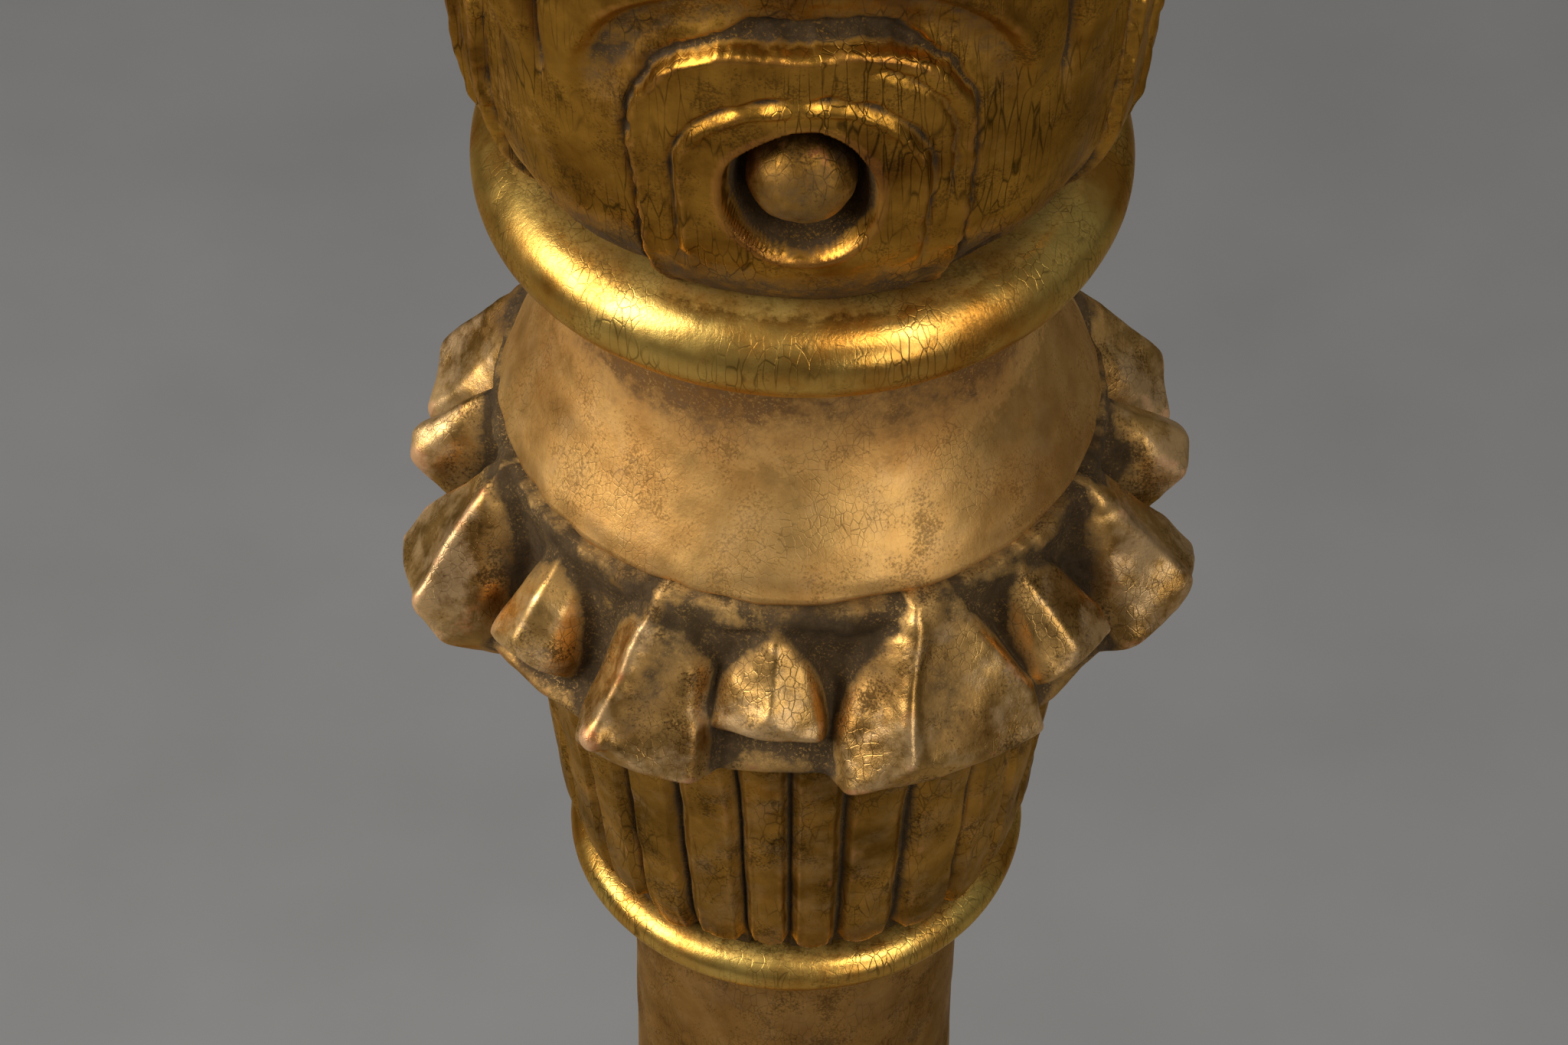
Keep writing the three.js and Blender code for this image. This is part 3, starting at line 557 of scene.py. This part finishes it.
# %% The ruff
hem = 3.7 * mound(ruff_drop, -35.5, 3.5) * np.sin(ruff_turn) ** 2
valley = np.interp(ruff_drop, *np.array(VALLEY[::-1]).T) + hem
ruff_radius = valley
ledge = step(ruff_drop, -7, -5)
for leaves, large in ((LARGE_LEAVES, True), (SMALL_LEAVES, False)):
    for leaf in leaves:
        out, share = leaf_radius(*leaf, large)
        ruff_radius = np.maximum(ruff_radius, valley + (np.clip(out, 50, 80) - valley) * share)
proud = ruff_radius - valley
# Dirt and painted shade: under the collar's rim, in the valleys and low on the leaves' flanks, with random
# patches.
dirt_and_shade = 0.7 * ledge + (1.7 - 0.8 * ledge) * step(proud, 4, 0.5) + 1.4 * step(proud, 15, 4)
ruff = np.stack(
    [ruff_radius * np.sin(ruff_turn), -ruff_radius * np.cos(ruff_turn), RIM + ruff_drop + 0 * ruff_turn], 2
)
ruff = softened(ruff, 0.95)
broken = at(-30.5, 73, RIM - 28)  # one ridge has lost its end, and shows a stump
stump = 1.8 * mound(np.linalg.norm(ruff - broken, axis=2), 0, 2.6)
dirt_and_shade = dirt_and_shade + 1.2 * np.clip(waver(ruff, 24, 5), -1, 1)
crusty = 0.25 * waver(ruff, 5, 6) * step(ruff_drop, -8, -5)
rough = 0.3 * waver(ruff, 12, 1) + 0.04 * waver(ruff, 3, 2) + crusty
ruff = ruff + outward(ruff) * (rough + stump + 0.1)[..., None]
ruff[..., 2] = np.clip(ruff[..., 2], RIM - RUFF_TALL, RIM)
ruff_bore = [(RING_BORE, RIM), (RING_BORE, RIM - RUFF_TALL)]
make_piece("leaf_ruff", carved_gold, ruff, ruff_bore, grime_and_shade=dirt_and_shade)

# %% [markdown]
# ## The fluted cup
# Under the leaves a small cup widens upwards, cut into upright tongues with dirt and painted shade in the
# grooves between them.
# A carver spaces such tongues by eye, so the angle is stretched a little back and forth before it is cut.

# %% Fluted cup
TONGUES = 26
CUP_FOOT = height_of("column_ring", True)
CUP_SHAPE = [(0, 42.5), (7, 45.3), (14, 47.2), (26, 48.4), (34, 49.6), (46, 50.8), (60, 53), (75, 57)]
cup_heights = np.linspace(0, CUP_SHAPE[-1][0], 150)
cup_radii = np.interp(cup_heights, *np.array(CUP_SHAPE).T)
cup_profile = np.stack([smoothed(cup_radii, 8), CUP_FOOT + cup_heights], 1)


def tongues(degrees, seen):
    stretched = degrees + 2.2 * np.sin(np.radians(3 * degrees + 40)) + 1.5 * np.sin(np.radians(7 * degrees))
    number = stretched * TONGUES / 360
    across = np.abs(number % 1 - 0.5) * 2
    which = np.floor(number).astype(int) % TONGUES
    random = np.random.default_rng(5)
    end = random.uniform(2, 7, TONGUES)[which]
    depth = random.uniform(2.2, 3.4, TONGUES)[which]
    rise = seen[..., 2] - CUP_FOOT
    tongue = np.clip(1 - across**2.4, 0, 1) ** 0.7
    tip = np.clip((rise - end + 3 * (1 - across**2)) / 2.5, 0, 1)
    bead = 0.5 * mound(across, 0.62, 0.12)
    return depth * (tongue * tip - 1) + bead * tip + 0.12 * waver(seen, 9, 9)


turned(
    "fluted_cup", "aged_gold", toned_gold, cup_profile, 1080, 0.6, tongues, 0.3, 1.6,
    through=10, socket=True,
)

# %% [markdown]
# ## The bulb and its eyes
# The bulb is turned first, then carved: four lobes with an upright groove between each two, and on each
# lobe a drilled eye inside two raised horseshoes. Sculpting by hand would do it too, but a formula for the
# height of the surface keeps the four alike, and a little noise keeps them hand cut.

# %% Bulb
BULB_FOOT = height_of("torus_ring", True) - 2.5
BULB_TOP = height_of("shoulder_ring")
BULB_SHAPE = [
    (0, 44.6), (4, 48.5), (8, 52.4), (14, 56), (22, 58.8), (32, 60.5), (44, 61.6), (60, 62.3), (80, 62.3),
    (100, 60.4), (120, 55.6), (138, 46.6), (150, 38), (154.5, 36),
]
EYE_RISE = 38  # the middle of the eyes, above the bulb's foot
EYE_WIDE, EYE_TALL = 13.2, 15.8
MM_PER_DEGREE = 1.1  # round the bulb, at its widest
bulb_rises = np.linspace(0, BULB_TOP - BULB_FOOT, 300)
bulb_radii = smoothed(np.interp(bulb_rises, *np.array(BULB_SHAPE).T), 7)
bulb_profile = np.stack([bulb_radii, BULB_FOOT + bulb_rises], 1)
print("bulb", round(2 * bulb_radii.max(), 1), "mm across before it is carved")


# %% Carving of the bulb
def horseshoe(across, rise, half_width, top, corner):
    """Distance inside an outline with upright sides, in millimetres: negative outside it."""
    side = np.maximum(np.abs(across) - half_width + corner, 0)
    up = np.maximum(rise - top + corner, 0)
    inside = np.minimum(half_width - np.abs(across), top - rise)
    return np.where((side > 0) & (up > 0), corner - np.hypot(side, up), np.minimum(inside, corner))


def carved_eyes(degrees, seen):
    offset = (degrees + 45) % 90 - 45
    across = offset * MM_PER_DEGREE + 0.5 * waver(seen, 26, 3)
    rise = seen[..., 2] - BULB_FOOT - EYE_RISE + 0.25 * waver(seen, 22, 6)
    above = step(rise, 8, 28)
    outer = horseshoe(across, rise, 40, 46, 34)
    cut = above * (2.0 * step(outer, 1.5, -1.5) + 0.7 * mound(outer, -2, 1.6))

    # The cushion: a raised horseshoe with a gouged line round it, torn above the eye.
    middle = horseshoe(across, rise, 30, 33, 23)
    ragged = 0.35 * waver(seen, 6, 33) + 0.2 * waver(seen, 2.5, 34)
    middle = middle + ragged
    torn = step(across, -15, -9) * step(across, 23, 15)
    cut -= (0.5 + 1.3 * above) * mound(middle, -6, 4.5)
    wide = 0.9 + (0.3 + 0.9 * torn) * step(rise, 18, 31)
    deep = 1.1 + (0.5 + 2.7 * torn) * step(rise, 20, 31)
    cut += 1.1 * step(middle, -0.8, 0.6) - deep * mound(middle, -wide, wide)
    cut += 0.5 * mound(middle, 1.3, 1.0)
    second = step(across, 8, 16) * step(rise, -16, 4)  # a slip of the gouge doubles the line on the right
    cut -= second * 0.9 * mound(middle, 4.2, 0.7)

    # The lid: a thinner horseshoe, broken off in the middle.
    inner = horseshoe(across, rise, 21.5, 22, 19)
    fade = step(rise, -24, -8) * (1 - 0.8 * mound(across, -1, 2.2))
    cut += fade * (1.0 * mound(inner, 1.1, 1.1) - 0.8 * mound(inner, -0.9, 0.7))

    # The drilled eye, and a chip at the right end of the cushion.
    socket = np.hypot(across / EYE_WIDE, rise / EYE_TALL) + 0.03 * waver(seen, 9, 8)
    cut -= 9.5 * step(socket, 1.03, 0.93) + 0.35 * (socket < 0.95) * waver(seen, 3, 12)
    cut += 0.35 * mound(socket, 1.07, 0.05) - 0.35 * mound(inner, 0, 2.5) * waver(seen, 5, 17)
    chip = mound(np.hypot(across - 41, rise + 30), 0, 3.4)
    cut -= 2.2 * chip * (1 + 0.3 * waver(seen, 3, 18))

    # The grooves between the lobes, and the plain ends.
    cut -= 4 * mound(np.abs(across), 49.5, 2) * step(rise, 6, 24)
    ends = step(seen[..., 2], BULB_FOOT, BULB_FOOT + 5) * step(seen[..., 2], BULB_TOP, BULB_TOP - 14)
    return cut * ends + 0.05 * waver(seen, 5, 15)


print("eyes", 2 * EYE_WIDE, "mm wide and", 2 * EYE_TALL, "mm tall")


# %% The bulb
# Dust and painted shade: in the drilled eyes, along the bulb's foot above the torus, and in random patches.
def eye_dust_and_shade(degrees, seen):
    across = ((degrees + 45) % 90 - 45) * MM_PER_DEGREE
    rise = seen[..., 2] - BULB_FOOT - EYE_RISE
    hole = step(np.hypot(across / EYE_WIDE, rise / EYE_TALL), 1.03, 0.93)
    seam = step(rise, -13, -28)
    return 4 * hole + 2.9 * seam + 0.8 * np.clip(waver(seen, 30, 19), 0, 1)


turned(
    "eye_bulb", "bright_gold", varnished_gold, bulb_profile, 1080, 0.6, carved_eyes, 0.3, 4.5, eye_dust_and_shade,
    through=18, socket=True,
)


# %% Bosses in the eyes
def boss(side, degrees):
    low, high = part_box("eye_boss_" + side)
    middle = (low + high) / 2 / MM
    radius = (high.z - low.z) / MM / 2 - 0.4
    floor = math.hypot(middle.x, middle.y) - 5.6
    profile = [(radius, 0), *bow(0, 2.5, radius, 8.2, 0, 88, 24), (0.05, 10.75)]
    profile = evenly(profile, 0.35)
    dome = spun(profile, 96)
    dome = dome + outward(dome) * (0.2 * waver(dome, 7, 21) + 0.04 * waver(dome, 2, 22))[..., None]
    swing = Matrix.Rotation(math.radians(degrees), 3, "Z") @ Matrix.Rotation(math.pi / 2, 3, "X")
    dome = dome @ np.array(swing).T
    away = math.radians(degrees)
    dome = dome + np.array([floor * math.sin(away), -floor * math.cos(away), middle.z])
    # The whole boss gets dust and painted shade, as it sits deep in the eye.
    make_piece("eye_boss_" + side, toned_gold, dome, [], grime_and_shade=3)


for side, degrees in (("front", 0), ("right", 90), ("back", 180), ("left", 270)):
    boss(side, degrees)

# %% [markdown]
# ## The foot of the stand
# Below the shaft a knop rests on a ribbed bell, which spreads the load on to a round board with four
# scroll feet. They are carved and gilded as the stem is.

# %% Bell
BELL_FOOT = height_of("base_torus", True)
BELL_TOP = height_of("base_ring")
bell_t = np.linspace(0, 1, 160)
bell_sweep = 1 - np.sin(bell_t * math.pi / 2) ** 0.62
bell_profile = np.stack([40 + 84 * bell_sweep, BELL_FOOT + bell_t * (BELL_TOP - BELL_FOOT)], 1)


def bell_ribs(degrees, seen):
    t = (seen[..., 2] - BELL_FOOT) / (BELL_TOP - BELL_FOOT)
    across = np.abs((degrees / 15 + 0.06 * np.sin(np.radians(5 * degrees))) % 1 - 0.5) * 2
    fade = step(t, 0.0, 0.1) * step(t, 1, 0.86)
    return fade * 3.5 * (np.clip(1 - across**2.2, 0, 1) ** 0.6 - 1) + 0.3 * waver(seen, 9, 31)


turned("base_bell", "aged_gold", toned_gold, bell_profile, 960, 1, bell_ribs, 0.4, through=30, socket=True)

# %% Knop and board
KNOP_RADIUS = 56
KNOP_END = 38
KNOP_FOOT = height_of("base_ring", True)
KNOP_TOP = height_of("knop_ring")
knop_end = math.degrees(math.acos(KNOP_END / KNOP_RADIUS))
knop_up = (KNOP_TOP - KNOP_FOOT) / 2 / math.sin(math.radians(knop_end))
knop_profile = bow(0, (KNOP_FOOT + KNOP_TOP) / 2, KNOP_RADIUS, knop_up, -knop_end, knop_end, 90)


def knop_gadroons(degrees, seen):
    t = (seen[..., 2] - KNOP_FOOT) / (KNOP_TOP - KNOP_FOOT)
    across = np.abs((degrees / 22.5) % 1 - 0.5) * 2
    lobe = np.clip(1 - across**2.2, 0, 1) ** 0.6 - 1
    band = step(np.abs(t - 0.5), 0.02, 0.06)
    return 2.6 * lobe * step(t, 0.04, 0.2) * step(t, 0.96, 0.8) * band + 0.9 * (band - 1)


turned(
    "lower_knop", "aged_gold", toned_gold, knop_profile, 720, 0.9, knop_gadroons, 0.3,
    through=17, socket=True,
)
BOARD_FOOT = height_of("plinth_board")
BOARD_RADIUS = 157.6
BOARD_EDGE = 7.8  # the upright part of its edge
board_profile = [
    (BOARD_RADIUS, BOARD_FOOT),
    (BOARD_RADIUS, BOARD_FOOT + BOARD_EDGE),
    *bow(148.5, BOARD_FOOT + BOARD_EDGE, 9.1, 18.2, 0, 90, 30),
]
turned("plinth_board", "aged_gold", toned_gold, board_profile, 480, 1.2, None, 0.3, socket=True)

# %% [markdown]
# ## Scroll feet
# Each foot is sawn from a plank to one outline, a bracket whose toe curls under, then its edges are rounded
# off, three hollows are gouged down its face, and a scroll is carved on each side of the toe. A bevel
# modifier could round the edges. We draw the outline at several places across the plank instead, and set it
# in a little near the sides.

# %% Outline of a foot
FOOT_TALL = height_of("plinth_board")
TOE = 19
TOE_AT = 149  # from the axis to the middle of the toe
HEEL = 62


def bend(a, b, c, d, count=24):
    t = np.linspace(0, 1, count, endpoint=False)[:, None]
    a, b, c, d = (np.array(p, float) for p in (a, b, c, d))
    return (1 - t) ** 3 * a + 3 * (1 - t) ** 2 * t * b + 3 * (1 - t) * t**2 * c + t**3 * d


toe_curl = bow(TOE_AT, TOE, TOE, TOE, -90, 135, 40)
outline = np.concatenate([
    [(HEEL, FOOT_TALL), (HEEL, FOOT_TALL - 14)],
    bend((HEEL, FOOT_TALL - 14), (96, FOOT_TALL - 14), (TOE_AT - 34, 26), (TOE_AT - TOE + 4, 0)),
    toe_curl,
    bend(toe_curl[-1], (TOE_AT - 6, 36), (TOE_AT - 22, 40), (TOE_AT - 14, 50)),
    bend((TOE_AT - 14, 50), (TOE_AT - 8, 54), (TOE_AT - 7, 58), (TOE_AT - 8, FOOT_TALL)),
    [(TOE_AT - 8, FOOT_TALL), (HEEL, FOOT_TALL)],
])
outline = evenly(outline, 1.2)[:-1]
around = np.roll(outline, -1, 0) - np.roll(outline, 1, 0)
outline_normal = np.stack([around[:, 1], -around[:, 0]], 1) / np.linalg.norm(around, axis=1, keepdims=True)
print("foot outline", len(outline), "points")


# %% Feet
def scroll_foot(name, degrees):
    across = np.array([-22, -21.8, -21, -19.5, *np.linspace(-17, 17, 69), 19.5, 21, 21.8, 22])
    edge = 22 - np.abs(across)
    inset = np.interp(edge, [0, 0.2, 1, 2.5, 5], [3, 2.2, 1, 0.2, 0])
    face = step(outline[:, 0], 100, 125) * step(outline[:, 1], FOOT_TALL - 2, FOOT_TALL - 12)
    face = face * (outline_normal[:, 0] > 0.1)
    gouge = 1.6 * np.clip(1 - ((across[:, None] + 10.5) % 10.5 / 5.25 - 1) ** 2, 0, 1) * (edge[:, None] > 5.5)
    inward = inset[:, None] + gouge * np.convolve(face, np.ones(9) / 9, "same")
    flat = outline[None] - inward[..., None] * outline_normal[None]
    flat[..., 1] = np.clip(flat[..., 1], 0, FOOT_TALL)
    away = math.radians(degrees)
    out = np.array([math.sin(away), -math.cos(away), 0])
    side = np.array([math.cos(away), math.sin(away), 0])
    seen = flat[..., :1] * out - across[:, None, None] * side + flat[..., 1:] * np.array([0, 0, 1])
    planed = (0.25 * waver(seen, 14, 40) - 0.25) * (inset[:, None] < 2.5)
    seen = seen + outward(seen) * planed[..., None]
    seen[..., 2] = np.clip(seen[..., 2], 0, FOOT_TALL)
    make_piece(name, toned_gold, seen, [], flat_ends=True)
    for hand in (-1, 1):
        scroll(name, out, side, hand)


def scroll(name, out, side, hand):
    turn = np.linspace(0, 1, 90)
    angle = np.radians(150 - 560 * turn)
    radius = 17 * (1 - turn) ** 0.8 + 2.5
    path = np.stack([TOE_AT + radius * np.cos(angle), TOE + radius * np.sin(angle)], 1)
    thick = 2.4 * step(turn, 0, 0.06) + 1.6 * step(turn, 0.9, 1) + 0.05
    thick[-1] = 0.05
    along = np.gradient(path, axis=0)
    normal = np.stack([along[:, 1], -along[:, 0]], 1) / np.linalg.norm(along, axis=1, keepdims=True)
    ring_turn = np.linspace(0, 2 * math.pi, 16, endpoint=False)
    flat = path[:, None] + (thick[:, None] * np.cos(ring_turn))[..., None] * normal[:, None]
    lift = 21.6 + thick[:, None] * np.sin(ring_turn)
    seen = flat[..., :1] * out + hand * lift[..., None] * side + flat[..., 1:] * np.array([0, 0, 1])
    if hand > 0:
        seen = seen[:, ::-1]
    piece = make_piece(name, toned_gold, seen, [], flat_ends=True)
    piece.name = name + ("_scroll_left" if hand < 0 else "_scroll_right")


for name, degrees in (("front_right", 45), ("back_right", 135), ("back_left", 225), ("front_left", 315)):
    scroll_foot("foot_" + name, degrees)

# %% [markdown]
# ## The head of the stand
# Above the bulb come a waisted neck, a cup of leaves and a broad dish. A pan of gilded sheet iron catches
# the wax. It lies loose round the pricket, so it rides on a body of its own.

# %% Neck
NECK_FOOT = height_of("shoulder_ring", True)
NECK_TOP = height_of("neck_ring")
neck_t = np.linspace(0, 1, 120)
neck_below = 22 + 11 * np.clip(1 - neck_t / 0.45, 0, 1) ** 2
neck_above = 22 + 8 * np.clip((neck_t - 0.45) / 0.55, 0, 1) ** 2
neck_profile = np.stack([np.maximum(neck_below, neck_above), NECK_FOOT + neck_t * (NECK_TOP - NECK_FOOT)], 1)
turned("neck", "bronze_paint", tarnished_paint, neck_profile, 300, 1, None, 0.3, through=14, socket=True)

# %% Capital and dish
SEAT = 4  # how far the pan stands above the dish
DISH_TALL = 30
CAPITAL_FOOT = height_of("neck_ring", True)
CAPITAL_TALL = height_of("drip_pan") - SEAT - DISH_TALL - CAPITAL_FOOT
capital_stops = [(0, 31), (0.15, 39), (0.4, 43), (0.62, 48), (0.72, 56), (0.8, 62), (0.88, 60), (1, 50)]
capital_profile = evenly([(r, CAPITAL_FOOT + t * CAPITAL_TALL) for t, r in capital_stops], 0.9)


def capital_leaves(degrees, seen):
    t = (seen[..., 2] - CAPITAL_FOOT) / CAPITAL_TALL
    leaf = np.abs(np.cos(np.radians(degrees * 4)))
    crease = np.exp(-((1 - leaf) / 0.004))
    tip = step(t, 0.6, 0.8) * step(t, 1, 0.86)
    between = 3 * (1 - leaf) * step(t, 0, 0.2) * step(t, 1, 0.9)
    return (6 * leaf - 3) * tip - between - 0.6 * crease * step(t, 0.05, 0.2)


turned(
    "capital_cup", "aged_gold", toned_gold, capital_profile, 720, 0.9, capital_leaves, 0.35,
    through=13, socket=True,
)
DISH_TOP = height_of("drip_pan") - SEAT
DISH_FOOT = DISH_TOP - DISH_TALL
dish_profile = [
    *bow(50, DISH_FOOT + 18, 52, 18, -90, 0, 50),
    *bow(101.6, DISH_TOP - 6, 6, 6, -60, 90, 24),
    (40, DISH_TOP),
]
turned("top_dish", "bright_gold", burnished_gold, dish_profile, 480, 1.1, None, 0.25, through=0)

# %% Drip pan
sheet_metal = gilding(
    "gilded_sheet_iron",
    gold="#C79A4C", brown="#8A6528", dust_and_shade="#3A2E22", rough=0.38,
    crack_mm=3.5, crack_tall=1, cracks=0.15, bole=0.5, speckle=0.6, pale=0.1, grain=0.4,
)
PAN_FOOT = height_of("drip_pan")
pan_outside = bow(52, PAN_FOOT + 13, 22, 13, -90, -20, 30)
pan_inside = bow(52, PAN_FOOT + 13, 20.5, 11.5, -20, -90, 30)
pan_profile = evenly([(BORE, PAN_FOOT), *pan_outside, *pan_inside, (BORE, PAN_FOOT + 1.5)], 0.9)
pan_hole = [(BORE, PAN_FOOT + 1.0), (BORE, PAN_FOOT + 0.5)]
make_piece("drip_pan", sheet_metal, spun(pan_profile, 360), pan_hole, "drip_pan")

# %% [markdown]
# ## Iron and bare wood
# The rod, its nut and washer, and the screws and dowels keep their CAD meshes: nothing about their shape
# could be better, so they only need their finish. Forged iron is nearly black, with a skin of rust.

# %% Forged iron and bare beech
def forged_iron():
    material, tree = blank_material("forged_iron")
    place = add(tree, "TexCoord").outputs["Object"]
    scale = add(tree, "TexNoise", {"Vector": place, "Scale": 1 / (6 * MM), "Detail": 6}).outputs[0]
    rust = add(tree, "MapRange", {0: scale, 1: 0.45, 2: 0.7}).outputs[0]
    colour = add(
        tree, "Mix", {0: rust, MIX_A: linear("#3B3836"), MIX_B: linear("#6A4228")}, data_type="RGBA"
    )
    metal = add(tree, "MapRange", {0: rust, 3: 0.9, 4: 0.2}).outputs[0]
    rough = add(tree, "MapRange", {0: rust, 3: 0.45, 4: 0.85}).outputs[0]
    bump = add(tree, "Bump", {"Strength": 0.5, "Distance": 0.3 * MM, "Height": scale}).outputs[0]
    shader = add(
        tree,
        "BsdfPrincipled",
        {"Base Color": colour.outputs[MIX_OUT], "Metallic": metal, "Roughness": rough, "Normal": bump},
    )
    add(tree, "OutputMaterial", {"Surface": shader.outputs[0]})
    return material


def bare_beech():
    material, tree = blank_material("bare_beech")
    place = add(tree, "TexCoord").outputs["Object"]
    along = add(tree, "Mapping", {"Vector": place, "Scale": (1, 1, 0.1)}).outputs[0]
    grain = add(tree, "TexNoise", {"Vector": along, "Scale": 1 / (1.5 * MM), "Detail": 4}).outputs[0]
    colour = add(
        tree, "Mix", {0: grain, MIX_A: linear("#7A5836"), MIX_B: linear("#B08C60")}, data_type="RGBA"
    )
    bump = add(tree, "Bump", {"Strength": 0.3, "Distance": 0.2 * MM, "Height": grain}).outputs[0]
    shader = add(
        tree,
        "BsdfPrincipled",
        {"Base Color": colour.outputs[MIX_OUT], "Roughness": 0.75, "Normal": bump},
    )
    add(tree, "OutputMaterial", {"Surface": shader.outputs[0]})
    return material


iron = forged_iron()
beech = bare_beech()
for name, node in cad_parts.items():
    if name.startswith("foot_dowel"):
        node.data.materials.clear()
        node.data.materials.append(beech)
    elif name.startswith("foot_screw") or name in ("tie_rod", "base_washer", "tie_nut"):
        node.data.materials.clear()
        node.data.materials.append(iron)
print("iron and beech given")

# %% [markdown]
# ## Floor and light
# A plain floor, a large soft lamp at the left, as a window would be, and four smaller ones at the right, in
# front and above. Gold shows only what it mirrors, so each lamp's soft edges draw one of the long highlights.

# %% Floor
floor_mesh = bpy.data.meshes.new("floor")
floor_mesh.from_pydata([(-6, -6, 0), (6, -6, 0), (6, 8, 0), (-6, 8, 0)], [], [(0, 1, 2, 3)])
floor = bpy.data.objects.new("floor", floor_mesh)
bpy.context.scene.collection.objects.link(floor)
plaster, tree = blank_material("pale_plaster_floor")
floor_place = add(tree, "TexCoord").outputs["Object"]
trowel = add(tree, "TexNoise", {"Vector": floor_place, "Scale": 7, "Detail": 5}).outputs[0]
floor_colour = add(
    tree, "Mix", {0: trowel, MIX_A: linear("#7F7D7A"), MIX_B: linear("#93918F")}, data_type="RGBA"
)
floor_shader = add(
    tree, "BsdfPrincipled", {"Base Color": floor_colour.outputs[MIX_OUT], "Roughness": 0.8}
)
add(tree, "OutputMaterial", {"Surface": floor_shader.outputs[0]})
floor_mesh.materials.append(plaster)
print("floor", [round(v, 1) for v in floor.dimensions])


# %% Lamps and world
def softbox(name, direction, distance, size, watts):
    light = bpy.data.lights.new(name, "AREA")
    light.shape = "RECTANGLE"
    light.size, light.size_y = size
    light.energy = watts
    lamp = bpy.data.objects.new(name, light)
    bpy.context.scene.collection.objects.link(lamp)
    towards = Vector(direction).normalized()
    lamp.location = Vector((0, 0, RIM * MM)) + towards * distance
    lamp.rotation_euler = towards.to_track_quat("Z", "Y").to_euler()


softbox("softbox_right", (0.60, -0.62, 0.50), 1.7, (0.5, 0.8), 7.2)
softbox("softbox_low", (0.50, -0.86, 0.06), 1.7, (0.5, 0.6), 3.8)
softbox("softbox_front", (0.37, -0.63, 0.67), 1.9, (0.5, 0.5), 8)
softbox("softbox_left", (-0.83, -0.28, 0.52), 1.7, (1.1, 1.1), 44)
softbox("softbox_above", (0.0, 0.35, 1.0), 2.0, (1.0, 0.6), 8)
world = bpy.data.worlds.new("studio")
bpy.context.scene.world = world
world.use_nodes = True
world.node_tree.nodes["Background"].inputs["Color"].default_value = linear("#C8CACC")
world.node_tree.nodes["Background"].inputs["Strength"].default_value = 0.2
bpy.context.scene.view_settings.view_transform = "Standard"
